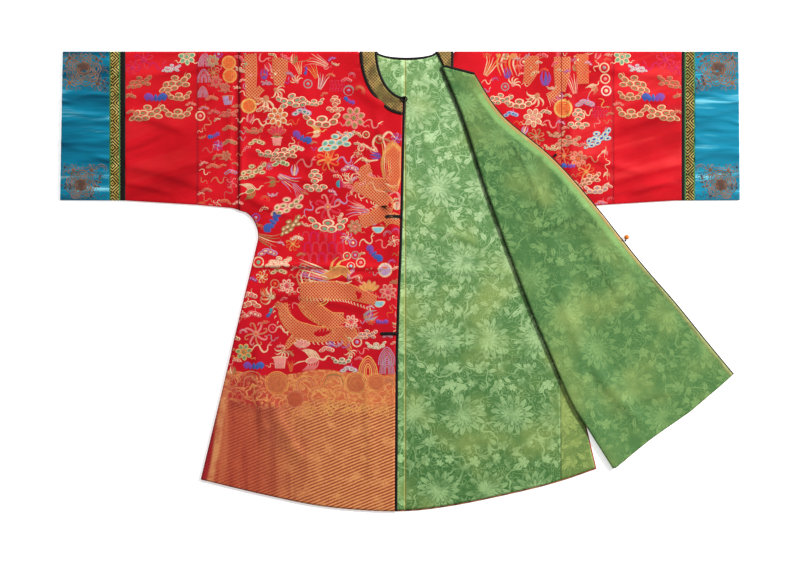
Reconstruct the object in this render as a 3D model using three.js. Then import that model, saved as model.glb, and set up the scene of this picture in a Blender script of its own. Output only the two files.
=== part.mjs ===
// A front-opening dragon robe with wide straight sleeves, laid flat on its back.
// The wearer's left front is folded open along a slanting line, so that its lining faces up.
// Millimetres, +Z up. +X is the wearer's left, +Y runs from the hem to the shoulders, z = 0 is the table.
import * as THREE from 'three';
import { mergeVertices } from 'three/addons/utils/BufferGeometryUtils.js';

const { lerp, smoothstep, clamp } = THREE.MathUtils;

// Overall cut
const SHOULDER_Y = 529;
const UNDERARM_Y = 164;
const ARMHOLE_X = 371;
const FILLET_HEIGHT = 65;
const FILLET_WIDTH = 46;
const SLIT_TOP_Y = -160;
const SIDE_HEM_X = 458;
const SIDE_HEM_Y = -455;
const BACK_SEAM_X = 8;
const LINING_SEAM_X = 12;
const LINING_INSET = 3;
const SEAM_GAP = 0.3;

// Thickness of each cloth, and the middle of each layer above the table
const BACK_CLOTH = 1.2;
const LINING_CLOTH = 1.0;
const FRONT_CLOTH = 2.0;
const OPEN_FRONT_CLOTH = 1.2;
const SLEEVE_CLOTH = 1.3;
const BACK_Z = BACK_CLOTH / 2;
const BACK_LINING_Z = 2.0;
const FRONT_Z = 3.8;
const OPEN_FRONT_Z = 4.2;
const FRONT_TOP_Z = 4.8;

// Neck opening: half an ellipse in front and a shallow one behind, each set out by an offset
const NECK_X = 15;
const NECK_HALF_WIDTH = 67;
const NECK_FRONT_DEPTH = 106;
const NECK_BACK_DEPTH = 14;
const LINING_NECK_OFFSET = 6.3;
const FRONT_NECK_OFFSET = 8.5;
const BACK_NECK_OFFSET = 42.5;

// Right front's opening edge, from the hem up to the neck, and its binding
const FRONT_EDGE = [
  { y: -528.4, x: -12.4 },
  { y: SLIT_TOP_Y, x: -10.4 },
  { y: -44, x: -6.9 },
  { y: 71, x: -1.9 },
  { y: UNDERARM_Y, x: 0.6 },
  { y: 418.4, x: 6.2 },
];
const FRONT_HEM_Y = FRONT_EDGE[0].y;
const FRONT_EDGE_TOP = FRONT_EDGE[5];
const BINDING_WIDTH = 6.2;
const BINDING_PROUD = 0.4;
const BINDING_END = 1.7;
const TURNED_BINDING_WIDTH = 2.6;
const TURNED_PIPING_WIDTH = 5.7;

// Hem of the robe, from the wearer's right corner to the left corner
const HEM = [
  { x: -458, y: -455 },
  { x: -312, y: -490 },
  { x: -171, y: -517.5 },
  { x: -9, y: -528.4 },
  { x: 109, y: -517.5 },
  { x: 247, y: -490 },
  { x: 360, y: -462 },
  { x: 454, y: -430 },
];

// Rows down a panel: shares of the yoke, levels of the side seam, shares of the skirt
const YOKE_SHARES = [0.2, 0.4, 0.6, 0.8];
const SIDE_LEVELS = [UNDERARM_Y, 159, 146.5, 124, 99, 44, 28, 12, -40, -100, SLIT_TOP_Y];
const SKIRT_SHARES = [0.25, 0.5, 0.75, 1];
const SIDE_SEAM_START = 1 + YOKE_SHARES.length;
const SIDE_SEAM_END = YOKE_SHARES.length + SIDE_LEVELS.length;

// The left front: leftmost reach of its fold, the front edge turned over, and the hidden hem corner
const FOLD_LINE = [
  { x: 98, y: 490 },
  { x: 146, y: 374 },
  { x: 206, y: 189 },
  { x: 293, y: -44 },
  { x: 342, y: -159 },
  { x: 392, y: -274 },
  { x: 434, y: -343 },
  { x: 489, y: -430 },
];
const TURNED_EDGE = [
  { x: 171, y: 474 },
  { x: 233, y: 382 },
  { x: 350, y: 282 },
  { x: 450, y: 170 },
  { x: 550, y: 45 },
  { x: 632, y: -50 },
  { x: 700, y: -134 },
  { x: 766, y: -214 },
];

// How far the turned front's hem stands out from a straight line, from the fold to the front edge
const TURNED_HEM_BOW = [
  { along: 0, out: 2 },
  { along: 0.3, out: 0 },
  { along: 0.62, out: 6.5 },
  { along: 0.9, out: 2.5 },
  { along: 1, out: 0 },
];
const BOW_START = 0.75;
const HIDDEN_TOP = { x: ARMHOLE_X, y: 500 };
const HIDDEN_HEM_CORNER = { x: 552, y: -358 };
const FOLD_RADIUS = 2.4;
const LINING_STEP = 1.4;
const FOLD_REACH = FOLD_RADIUS + LINING_STEP + LINING_CLOTH / 2;
const FOLD_SETTLE = 70;
const TAIL_LENGTH = 30;
const TURNED_Z = 6.5;
const TURNED_NECK_Z = 8.2;
const TURNED_ON_HEM_Z = 3.9;
const NECK_RISE_END = [0.02, 0.12];
const TURNED_SHARES = [0, 0.07, 0.14, 0.21, 0.29, 0.37, 0.46, 0.55, 0.64, 0.73, 0.82, 0.91, 1];
const UNDER_TAIL = 2.1;
const UNDER_FLAT = 1.4;
const DROP_START = 14;
const DROP_END = 70;

// The back lining's left hem corner is pieced out with a gore beyond this seam
const GORE_X = 369;
const GORE_TOP_Y = -112;

// Soft crease across the right front, where the robe is folded for storage
const CREASE = { y: 28, width: 14, height: 1.2 };

// How far the right front's neck corner and the back lining's top edge lie below the shoulder
const FRONT_NECK_DROP = 7;
const LINING_TOP_DROP = 4;

// Neck bands, by their offsets from the neck's inner edge. endX is where each starts at the right
// front's edge, and reach is the share of the left end that it covers.
const PIPING_LEVELS = { back: 1.25, right: 4.45, left: 4.45 };
const COLLAR_LEVELS = { back: 0.5, right: 5.6, left: 6.1 };
const BANDS = [
  { name: 'neck_piping', inner: 0, outer: 6, cloth: 2.4, ...PIPING_LEVELS, endX: 12.5, reach: 0.8 },
  { name: 'collar', inner: 6.6, outer: 34.7, cloth: 1.0, ...COLLAR_LEVELS, endX: 5.5, reach: 1 },
  { name: 'collar_edging', inner: 35, outer: 41, cloth: 1.0, ...COLLAR_LEVELS, endX: 5.3, reach: 1 },
];
const COLLAR = BANDS[1];
const BAND_LEAN = 15.4;
const BAND_END = { innerY: 492, outerY: 482 };
const BAND_FRONT_STEPS = 8;
const BAND_BACK_STEPS = 12;

// Sleeves: the bottom edge, and where each piece of each sleeve starts
const SLEEVE_BOTTOM = [
  { x: 371, y: 164 },
  { x: 385, y: 168.5 },
  { x: 466, y: 176 },
  { x: 632, y: 186 },
  { x: 790, y: 187 },
];
const SLEEVES = [
  { side: 'right', sign: -1, join: 466, binding: 631, ribbon: 643, cuff: 668, top: 775, bottom: 781 },
  { side: 'left', sign: 1, join: 489, binding: 647, ribbon: 654, cuff: 678, top: 778, bottom: 781 },
];

// Closures. The loops lie on the right front, the knot and the ball button stand off the turned edge.
const LOOPS = [
  { name: 'loop_chest', left: -34, right: 5, y: 149.5 },
  { name: 'loop_waist', left: -45, right: -4, y: -119.6 },
];
const LOOP = { width: 7, height: 1.8 };
const NECK_LOOP = { x: 9.5, y: 419, radius: 5.2, cord: 1.7, stretch: 1.25 };
const CHEST_KNOT = { from: { x: 354.6, y: 287.4 }, to: { x: 358.5, y: 292 }, z: 7.6, radius: 2.4 };
const WAIST_STEM = { from: { x: 518.2, y: 93.4 }, to: { x: 518.8, y: 95 }, z: 2.4, radius: 1.8 };
const WAIST_BALL = { x: 520.7, y: 101.9, radius: 5.8 };

// Colours of the cloths
const COLOURS = {
  brocade: { color: 0xc8202c, roughness: 0.55, metalness: 0 },
  lining: { color: 0x6aa566, roughness: 0.5, metalness: 0 },
  gore: { color: 0x9db55a, roughness: 0.5, metalness: 0 },
  turned_lining: { color: 0x4f9150, roughness: 0.5, metalness: 0 },
  satin: { color: 0x1384a6, roughness: 0.4, metalness: 0 },
  fret: { color: 0x8a7a2c, roughness: 0.6, metalness: 0.1 },
  black: { color: 0x16130f, roughness: 0.6, metalness: 0 },
  button: { color: 0xd9772b, roughness: 0.35, metalness: 0.3 },
};

const robe = new THREE.Group();

function addPart(name, geometry, colour) {
  const mesh = new THREE.Mesh(geometry, new THREE.MeshStandardMaterial(COLOURS[colour]));
  mesh.name = name;
  robe.add(mesh);
}

// Reads a table of points: the value of one column where the other, rising down the table, reaches at
function readTable(table, rising, wanted, at) {
  const next = table.findIndex((row) => row[rising] >= at);
  if (next <= 0) {
    return table[next === 0 ? 0 : table.length - 1][wanted];
  }
  const [a, b] = [table[next - 1], table[next]];
  return lerp(a[wanted], b[wanted], (at - a[rising]) / (b[rising] - a[rising]));
}

const heightAt = (table, x) => readTable(table, 'x', 'y', x);

// Smooth curve through a table of points
function curveThrough(table) {
  return new THREE.SplineCurve(table.map((row) => new THREE.Vector2(row.x, row.y)));
}

const HEM_TABLE = curveThrough(HEM).getPoints(70);

// Half width of the body at height y: straight at the armhole, rounded below it, then flaring
function sideHalfWidth(y) {
  const filletEnd = UNDERARM_Y - FILLET_HEIGHT;
  if (y >= UNDERARM_Y) {
    return ARMHOLE_X;
  }
  if (y > filletEnd) {
    const share = (y - filletEnd) / FILLET_HEIGHT;
    return ARMHOLE_X - FILLET_WIDTH * Math.sqrt(1 - share * share);
  }
  return lerp(ARMHOLE_X - FILLET_WIDTH, SIDE_HEM_X, (filletEnd - y) / (filletEnd - SIDE_HEM_Y));
}

const frontEdgeX = (y) => readTable(FRONT_EDGE, 'y', 'x', y);

function creaseLift(y) {
  return CREASE.height * Math.max(0, 1 - Math.abs(y - CREASE.y) / CREASE.width);
}

// A point of a neck curve, by its angle from the shoulder line
function neckPoint(offset, angle, depth, sign) {
  const x = NECK_X + sign * (NECK_HALF_WIDTH + offset) * Math.cos(angle);
  const y = SHOULDER_Y - (depth + offset) * Math.sin(angle);
  return { x, y };
}

// Angle at which a neck curve reaches x
function neckAngleAt(offset, x, sign) {
  return Math.acos(clamp((sign * (x - NECK_X)) / (NECK_HALF_WIDTH + offset), -1, 1));
}

// Angle at which a neck curve reaches y
function neckAngleDown(offset, depth, y) {
  return Math.asin(clamp((SHOULDER_Y - y) / (depth + offset), 0, 1));
}

// Closed geometry facing outward, whichever way round its triangles came
function solidFrom(positions, triangles) {
  let volume = 0;
  const corner = (id) => new THREE.Vector3(...positions.slice(3 * id, 3 * id + 3));
  for (let i = 0; i < triangles.length; i += 3) {
    volume += corner(triangles[i]).dot(corner(triangles[i + 1]).cross(corner(triangles[i + 2])));
  }
  if (volume < 0) {
    triangles.reverse();
  }
  const geometry = new THREE.BufferGeometry();
  geometry.setAttribute('position', new THREE.Float32BufferAttribute(positions, 3));
  geometry.setIndex(triangles);
  return mergeVertices(geometry, 1e-4);
}

// Joins grids of points into one sheet: grids share an edge where their points coincide.
// Gives its points with their normals, and its triangles.
function sheetOf(grids) {
  const points = [];
  const idOf = new Map();
  const idFor = (point) => {
    const key = [point.x, point.y, point.z].map((value) => Math.round(value * 1000)).join(' ');
    if (!idOf.has(key)) {
      idOf.set(key, points.length);
      points.push({ ...point, normal: new THREE.Vector3() });
    }
    return idOf.get(key);
  };
  const faces = [];
  const addFace = (a, b, c) => {
    if (a !== b && b !== c && c !== a) {
      faces.push([a, b, c]);
    }
  };
  const idGrids = grids.map((grid) => grid.map((row) => row.map(idFor)));
  for (const ids of idGrids) {
    for (let i = 0; i + 1 < ids.length; i += 1) {
      for (let j = 0; j + 1 < ids[i].length; j += 1) {
        addFace(ids[i][j], ids[i + 1][j], ids[i + 1][j + 1]);
        addFace(ids[i][j], ids[i + 1][j + 1], ids[i][j + 1]);
      }
    }
  }
  const [ab, ac] = [new THREE.Vector3(), new THREE.Vector3()];
  for (const face of faces) {
    const [a, b, c] = face.map((id) => points[id]);
    ab.subVectors(b, a);
    ac.subVectors(c, a);
    const normal = ab.cross(ac).normalize();
    face.forEach((id) => points[id].normal.add(normal));
  }
  points.forEach((point) => point.normal.normalize());
  return { points, faces, idGrids };
}

// Thickens a sheet into one closed wall: each point moves half its thickness along its normal to
// each side, and the free edges are closed by a rim.
function wallOf(grids) {
  const { points, faces } = sheetOf(grids);
  const positions = [];
  for (const side of [0.5, -0.5]) {
    for (const { x, y, z, thickness, normal } of points) {
      const step = side * thickness;
      positions.push(x + normal.x * step, y + normal.y * step, z + normal.z * step);
    }
  }
  const edges = new Map();
  for (const [a, b, c] of faces) {
    [[a, b], [b, c], [c, a]].forEach(([from, to]) => edges.set(`${from} ${to}`, [from, to]));
  }
  const count = points.length;
  const triangles = [];
  for (const [a, b, c] of faces) {
    triangles.push(a, b, c, a + count, c + count, b + count);
  }
  for (const [from, to] of edges.values()) {
    if (!edges.has(`${to} ${from}`)) {
      triangles.push(to, from, from + count, to, from + count, to + count);
    }
  }
  return solidFrom(positions, triangles);
}

// The same grid moved out along its own normals, as a lining lies on its cloth
function movedOut(grid, distance, thickness) {
  const { points, idGrids } = sheetOf([grid]);
  return idGrids[0].map((row) => row.map((id) => {
    const { x, y, z, normal } = points[id];
    return { x: x + normal.x * distance, y: y + normal.y * distance, z: z + normal.z * distance, thickness };
  }));
}

// Body panels: columns run from the top edge to the hem, rows from the side to the centre
const SHOULDER_COLUMNS = 5;
const NECK_COLUMNS = 7;
const NECK_CORNER = NECK_HALF_WIDTH + BACK_NECK_OFFSET + SEAM_GAP;

// Shoulder points of one half, from the side to the neck corner
function shoulderRow(sign, sideX, cornerX, level) {
  return Array.from({ length: SHOULDER_COLUMNS }, (unused, j) => {
    const share = j / (SHOULDER_COLUMNS - 1);
    return { x: lerp(sign * sideX, NECK_X + sign * cornerX, share), ...level };
  });
}

// Points round a neck curve of one half, from the shoulder to x = innerX
function neckRow(sign, offset, depth, firstAngle, innerX, level) {
  const lastAngle = neckAngleAt(offset, innerX, sign);
  return Array.from({ length: NECK_COLUMNS }, (unused, j) => {
    const angle = lerp(firstAngle, lastAngle, (j + 1) / NECK_COLUMNS);
    return { ...neckPoint(offset, angle, depth, sign), ...level };
  });
}

// Rows of a panel, from its top row down to the hem. sideX and innerX give its side and centre
// edges at a level, and level gives the height and thickness of the cloth.
function panelRows(sign, topRow, sideX, innerX, level, hemInset = 0) {
  const last = topRow.length - 1;
  const place = (x, y) => ({ x, y, ...level(y) });
  const levelRow = (y) => topRow.map((top, j) => place(lerp(sign * sideX(y), innerX(y), j / last), y));
  const underarm = levelRow(UNDERARM_Y);
  const yoke = (share) => topRow.map((top, j) => {
    return place(lerp(top.x, underarm[j].x, share), lerp(top.y, underarm[j].y, share));
  });
  const slit = levelRow(SLIT_TOP_Y);
  const hemSideX = sideX(sign < 0 ? HEM[0].y : HEM[HEM.length - 1].y);
  const skirt = (share) => slit.map((top, j) => {
    const hemX = lerp(sign * hemSideX, innerX(FRONT_HEM_Y), j / last);
    const hemY = heightAt(HEM_TABLE, hemX) + hemInset;
    return place(lerp(top.x, hemX, share), lerp(top.y, hemY, share));
  });
  return [topRow, ...YOKE_SHARES.map(yoke), ...SIDE_LEVELS.map(levelRow), ...SKIRT_SHARES.map(skirt)];
}

const seamBeside = (sign, seamX) => () => seamX + (sign * SEAM_GAP) / 2;

function backPanel(sign, shoulder) {
  const level = { z: BACK_Z, thickness: BACK_CLOTH };
  const innerX = seamBeside(sign, BACK_SEAM_X);
  const neck = neckRow(sign, BACK_NECK_OFFSET, NECK_BACK_DEPTH, 0, innerX(), level);
  return panelRows(sign, [...shoulder, ...neck], sideHalfWidth, innerX, () => level);
}

// Half a turn over the shoulder, from the back's level up to the front's
function shoulderRoll(sign, frontZ, frontCloth) {
  const radius = (frontZ - BACK_Z) / 2;
  const centreY = SHOULDER_Y - radius - (BACK_CLOTH + frontCloth) / 4;
  return [0, 0.25, 0.5, 0.75, 1].map((share) => {
    const angle = Math.PI * share;
    const y = centreY + radius * Math.sin(angle);
    const z = BACK_Z + radius * (1 - Math.cos(angle));
    const thickness = lerp(BACK_CLOTH, frontCloth, share);
    return shoulderRow(sign, ARMHOLE_X, NECK_CORNER, { y, z, thickness });
  });
}

// The side seam joins the back's edge to the front's, from the underarm to the top of the slit
function sideSeam(backRows, frontRows) {
  const seam = [];
  for (let i = SIDE_SEAM_START; i <= SIDE_SEAM_END; i += 1) {
    seam.push([frontRows[i][0], backRows[i][0]]);
  }
  return seam;
}

const upward = (rows) => rows.slice().reverse();

// Right half of the body: back, shoulder and front in one cloth
function rightBody() {
  const roll = shoulderRoll(-1, FRONT_Z, FRONT_CLOTH);
  const back = backPanel(-1, roll[0]);
  const level = (y) => ({ z: FRONT_Z + creaseLift(y), thickness: FRONT_CLOTH });
  const neck = neckRow(-1, FRONT_NECK_OFFSET, NECK_FRONT_DEPTH, 0, FRONT_EDGE_TOP.x, level(SHOULDER_Y));
  neck[0].x = NECK_X - NECK_HALF_WIDTH - FRONT_NECK_OFFSET;
  neck[0].y = SHOULDER_Y - FRONT_NECK_DROP;
  const front = panelRows(-1, [...roll[4], ...neck], sideHalfWidth, frontEdgeX, level);
  return wallOf([back, upward(roll), upward(front), sideSeam(back, front)]);
}

// Outline of the left half with its sleeve, on which the turned front lies
function leftOutline() {
  const sleeve = SLEEVE_BOTTOM.slice().reverse();
  const side = SIDE_LEVELS.slice(1).map((y) => ({ x: sideHalfWidth(y), y }));
  const hem = HEM.slice(3).reverse();
  return [{ x: 0, y: SHOULDER_Y }, { x: SLEEVE_BOTTOM[4].x, y: SHOULDER_Y }, ...sleeve, ...side, ...hem];
}

// Distance from a point to a closed outline: positive outside, negative inside
function distanceOutside(point, outline) {
  let nearest = Infinity;
  let inside = false;
  outline.forEach((a, i) => {
    const b = outline[(i + 1) % outline.length];
    const [dx, dy] = [b.x - a.x, b.y - a.y];
    const share = clamp(((point.x - a.x) * dx + (point.y - a.y) * dy) / (dx * dx + dy * dy), 0, 1);
    nearest = Math.min(nearest, Math.hypot(point.x - a.x - share * dx, point.y - a.y - share * dy));
    if (a.y > point.y !== b.y > point.y && point.x < a.x + (dx * (point.y - a.y)) / dy) {
      inside = !inside;
    }
  });
  return inside ? -nearest : nearest;
}

// 1 over an outline and just past it, falling smoothly to 0
function cover(point, outline) {
  return 1 - smoothstep(distanceOutside(point, outline), DROP_START, DROP_END);
}

// The left front's rows, from the top down: the hidden side edge, the fold and the turned edge
function leftFrontRows() {
  const slit = { x: sideHalfWidth(SLIT_TOP_Y), y: SLIT_TOP_Y };
  const side = [
    HIDDEN_TOP,
    ...YOKE_SHARES.map((share) => ({ x: ARMHOLE_X, y: lerp(HIDDEN_TOP.y, UNDERARM_Y, share) })),
    ...SIDE_LEVELS.map((y) => ({ x: sideHalfWidth(y), y })),
    ...SKIRT_SHARES.map((share) => ({
      x: lerp(slit.x, HIDDEN_HEM_CORNER.x, share),
      y: lerp(slit.y, HIDDEN_HEM_CORNER.y, share),
    })),
  ];
  const lengths = [0];
  side.slice(1).forEach((point, i) => {
    lengths.push(lengths[i] + Math.hypot(point.x - side[i].x, point.y - side[i].y));
  });
  const total = lengths[lengths.length - 1];
  const fold = curveThrough(FOLD_LINE);
  const edge = curveThrough(TURNED_EDGE);
  return side.map((point, i) => {
    const share = lengths[i] / total;
    const tangent = fold.getTangentAt(share);
    const inward = { x: -tangent.y, y: tangent.x };
    const reach = fold.getPointAt(share);
    const centre = { x: reach.x + inward.x * FOLD_REACH, y: reach.y + inward.y * FOLD_REACH };
    return { side: point, centre, inward, edge: edge.getPointAt(share), share };
  });
}

// Grids of the left front: the flat part below, the roll of the fold, and the turned part above
function leftFrontGrids() {
  const outline = leftOutline();
  const rows = leftFrontRows();
  const [slit, hem] = [rows[SIDE_SEAM_END], rows[rows.length - 1]];
  const hidden = [slit.side, HIDDEN_HEM_CORNER, hem.centre, slit.centre];
  const hemLength = Math.hypot(hem.edge.x - hem.centre.x, hem.edge.y - hem.centre.y);
  const hemOut = {
    x: (hem.edge.y - hem.centre.y) / hemLength,
    y: (hem.centre.x - hem.edge.x) / hemLength,
  };
  const thickness = OPEN_FRONT_CLOTH;
  const under = (x, y, rise) => {
    const support = (OPEN_FRONT_Z - UNDER_FLAT) * cover({ x, y }, outline);
    return { x, y, z: support + rise, thickness };
  };
  const flat = rows.map(({ side, centre, inward }) => {
    const tail = { x: centre.x + inward.x * TAIL_LENGTH, y: centre.y + inward.y * TAIL_LENGTH };
    const between = [0, 0.33, 0.66].map((share) => {
      return under(lerp(side.x, tail.x, share), lerp(side.y, tail.y, share), UNDER_FLAT);
    });
    return [...between, under(tail.x, tail.y, UNDER_TAIL), under(centre.x, centre.y, UNDER_TAIL)];
  });
  const roll = rows.map(({ centre, inward }, i) => {
    const low = flat[i][4];
    return [0, 0.25, 0.5, 0.75, 1].map((share) => {
      const out = -FOLD_RADIUS * Math.sin(Math.PI * share);
      const z = low.z + FOLD_RADIUS * (1 - Math.cos(Math.PI * share));
      return { x: centre.x + inward.x * out, y: centre.y + inward.y * out, z, thickness };
    });
  });
  const turned = rows.map(({ centre, edge, share }, i) => TURNED_SHARES.map((along) => {
    const bow = readTable(TURNED_HEM_BOW, 'along', 'out', along) * smoothstep(share, BOW_START, 1);
    const x = lerp(centre.x, edge.x, along) + hemOut.x * bow;
    const y = lerp(centre.y, edge.y, along) + hemOut.y * bow;
    const overHem = TURNED_ON_HEM_Z * cover({ x, y }, hidden);
    const level = lerp(TURNED_NECK_Z, TURNED_Z, smoothstep(share, NECK_RISE_END[0], NECK_RISE_END[1]));
    const overBody = lerp(BACK_Z, level, cover({ x, y }, outline));
    const rest = Math.max(overHem, overBody);
    const fromFold = Math.hypot(x - centre.x, y - centre.y);
    const z = lerp(roll[i][4].z, rest, smoothstep(fromFold, 0, FOLD_SETTLE));
    return { x, y, z, thickness };
  }));
  return { flat, roll, turned };
}

const LEFT_FRONT = leftFrontGrids();

// Left half of the body: back and shoulder, and the front folded open, in one cloth
function leftBody() {
  const roll = shoulderRoll(1, OPEN_FRONT_Z, OPEN_FRONT_CLOTH);
  const back = backPanel(1, roll[0]);
  const { flat, roll: fold, turned } = LEFT_FRONT;
  const shoulderTuck = [flat[0], roll[4]];
  const front = [upward(flat), upward(fold), upward(turned)];
  return wallOf([back, upward(roll), shoulderTuck, ...front, sideSeam(back, flat)]);
}

// Lining of the left front: the tail tucked under, the roll and the turned part, on the cloth's points
function turnedLining() {
  const { flat, roll, turned } = LEFT_FRONT;
  const rows = turned.map((row, i) => [flat[i][3], ...roll[i], ...row.slice(1)]);
  return wallOf([movedOut(upward(rows), -LINING_STEP, LINING_CLOTH)]);
}

// Lining of one half of the back, inside the body's outline and up to the neck piping
function backLining(sign) {
  const level = { z: BACK_LINING_Z, thickness: LINING_CLOTH };
  const topY = SHOULDER_Y - LINING_TOP_DROP;
  const firstAngle = neckAngleDown(LINING_NECK_OFFSET, NECK_BACK_DEPTH, topY);
  const corner = (NECK_HALF_WIDTH + LINING_NECK_OFFSET) * Math.cos(firstAngle);
  const goreSeam = sign > 0 ? GORE_X - SEAM_GAP / 2 : Infinity;
  const sideX = (y) => Math.min(sideHalfWidth(y) - LINING_INSET, goreSeam);
  const innerX = seamBeside(sign, LINING_SEAM_X);
  const shoulder = shoulderRow(sign, sideX(topY), corner, { y: topY, ...level });
  const neck = neckRow(sign, LINING_NECK_OFFSET, NECK_BACK_DEPTH, firstAngle, innerX(), level);
  return wallOf([panelRows(sign, [...shoulder, ...neck], sideX, innerX, () => level, LINING_INSET)]);
}

// Gore of the lining at the left hem corner, between its seam and the side
function liningGore() {
  const level = { z: BACK_LINING_Z, thickness: LINING_CLOTH };
  const seamX = GORE_X + SEAM_GAP / 2;
  const hemSideX = sideHalfWidth(HEM[7].y) - LINING_INSET;
  const rows = [0, 0.2, 0.4, 0.6, 0.8, 1].map((share) => [0, 0.5, 1].map((across) => {
    const topX = lerp(seamX, sideHalfWidth(GORE_TOP_Y) - LINING_INSET, across);
    const hemX = lerp(seamX, hemSideX, across);
    const y = lerp(GORE_TOP_Y, heightAt(HEM_TABLE, hemX) + LINING_INSET, share);
    return { x: lerp(topX, hemX, share), y, ...level };
  }));
  return wallOf([rows]);
}

// A narrow strip beside an edge of the turned front, as thick as its cloth and lining together
function edgeStrip(edgePoints, hand, width) {
  const below = OPEN_FRONT_CLOTH / 2;
  const above = LINING_STEP + LINING_CLOTH / 2;
  const outward = sideways(edgePoints, hand);
  const across = [SEAM_GAP, SEAM_GAP + width];
  return wallOf([edgePoints.map(({ x, y, z }, i) => across.map((step) => {
    const place = { x: x + outward[i].x * step, y: y + outward[i].y * step };
    return { ...place, z: z + (above - below) / 2, thickness: below + above };
  }))]);
}

// Unit directions at right angles to a row of points: hand 1 turns left of its course, -1 right
function sideways(points, hand) {
  return points.map((point, i) => {
    const [a, b] = [points[Math.max(i - 1, 0)], points[Math.min(i + 1, points.length - 1)]];
    const length = Math.hypot(b.x - a.x, b.y - a.y);
    return { x: (-hand * (b.y - a.y)) / length, y: (hand * (b.x - a.x)) / length };
  });
}

// Binding of the right front's edge, level with its cloth and just proud of it
function rightBinding() {
  const top = FRONT_EDGE_TOP.y - BINDING_END;
  const skirt = SKIRT_SHARES.map((share) => lerp(SLIT_TOP_Y, FRONT_HEM_Y, share));
  const thickness = FRONT_CLOTH + BINDING_PROUD;
  return wallOf([[top, ...SIDE_LEVELS, ...skirt].map((y) => {
    const z = FRONT_Z + BINDING_PROUD / 2 + creaseLift(y);
    return [SEAM_GAP, SEAM_GAP + BINDING_WIDTH].map((step) => ({ x: frontEdgeX(y) + step, y, z, thickness }));
  })]);
}

// One neck band: up the right front, over the shoulder, round the back, over and down the left front
function neckBand(band) {
  const offsets = [0, 0.5, 1].map((share) => lerp(band.inner, band.outer, share));
  const collarShare = (offset) => (offset - COLLAR.inner) / (COLLAR.outer - COLLAR.inner);
  const leanOf = (offset) => BAND_LEAN * clamp(1 - collarShare(offset), 0, 2);
  const endOf = (offset) => lerp(BAND_END.innerY, BAND_END.outerY, clamp(collarShare(offset), 0, 1));
  const turn = (frontZ) => {
    const radius = (frontZ - band.back) / 2;
    return { radius, y: SHOULDER_Y - radius - band.cloth / 2 };
  };
  const [right, left] = [turn(band.right), turn(band.left)];
  const column = (offset) => {
    const width = NECK_HALF_WIDTH + offset;
    const frontStart = Math.acos((NECK_X - band.endX) / width);
    const frontEnd = neckAngleDown(offset, NECK_FRONT_DEPTH, right.y);
    const backStart = neckAngleDown(offset, NECK_BACK_DEPTH, right.y);
    const backEnd = Math.PI - neckAngleDown(offset, NECK_BACK_DEPTH, left.y);
    const points = [];
    for (let i = 0; i <= BAND_FRONT_STEPS; i += 1) {
      const angle = lerp(frontStart, frontEnd, i / BAND_FRONT_STEPS);
      const place = neckPoint(offset, angle, NECK_FRONT_DEPTH, -1);
      points.push({ ...place, z: band.right });
    }
    const overShoulder = (turning, startX, endX, rising) => [0.25, 0.5, 0.75].forEach((share) => {
      const angle = Math.PI * share;
      const y = turning.y + turning.radius * Math.sin(angle);
      const z = band.back + turning.radius * (1 - rising * Math.cos(angle));
      points.push({ x: lerp(startX, endX, share), y, z });
    });
    overShoulder(right, NECK_X - width * Math.cos(frontEnd), NECK_X - width * Math.cos(backStart), -1);
    for (let i = 0; i <= BAND_BACK_STEPS; i += 1) {
      const angle = lerp(backStart, backEnd, i / BAND_BACK_STEPS);
      const place = neckPoint(offset, angle, NECK_BACK_DEPTH, -1);
      points.push({ ...place, z: band.back });
    }
    const leftX = NECK_X + width;
    overShoulder(left, NECK_X - width * Math.cos(backEnd), leftX, 1);
    [0, 0.5, 1].forEach((share) => {
      const down = share * band.reach;
      points.push({ x: leftX + leanOf(offset) * down, y: lerp(left.y, endOf(offset), down), z: band.left });
    });
    return points.map((point) => ({ ...point, thickness: band.cloth }));
  };
  return wallOf([offsets.map(column)]);
}

// One length of a flattened sleeve, between two seams. Its section is a flat ring in Y and Z.
function sleeveRing(sign, from, toTop, toBottom) {
  const radius = (FRONT_TOP_Z - SLEEVE_CLOTH) / 2;
  const margin = radius + SLEEVE_CLOTH / 2;
  const corner = SLEEVE_BOTTOM[1].x;
  const stations = from < corner ? [0, (corner - from) / (toTop - from), 0.5, 1] : [0, 0.5, 1];
  const sections = stations.map((share) => {
    const [topX, bottomX] = [lerp(from, toTop, share), lerp(from, toBottom, share)];
    const low = heightAt(SLEEVE_BOTTOM, bottomX) + margin;
    const high = SHOULDER_Y - margin;
    const place = (y, z) => {
      const x = lerp(bottomX, topX, clamp((y - low) / (high - low), 0, 1));
      return { x: sign * x, y, z, thickness: SLEEVE_CLOTH };
    };
    const levels = [0, 0.17, 0.33, 0.5, 0.67, 0.83, 1].map((rise) => lerp(low, high, rise));
    const turns = [-0.25, 0, 0.25].map((half) => half * Math.PI);
    const middle = FRONT_TOP_Z / 2;
    const turnAbout = (y, way) => turns.map((angle) => {
      return place(y + way * radius * Math.cos(angle), middle + way * radius * Math.sin(angle));
    });
    const under = levels.map((y) => place(y, middle - radius));
    const topTurn = turnAbout(high, 1);
    const over = levels.slice().reverse().map((y) => place(y, middle + radius));
    const lowTurn = turnAbout(low, -1);
    return [...under, ...topTurn, ...over, ...lowTurn, under[0]];
  });
  return wallOf([sections]);
}

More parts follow.
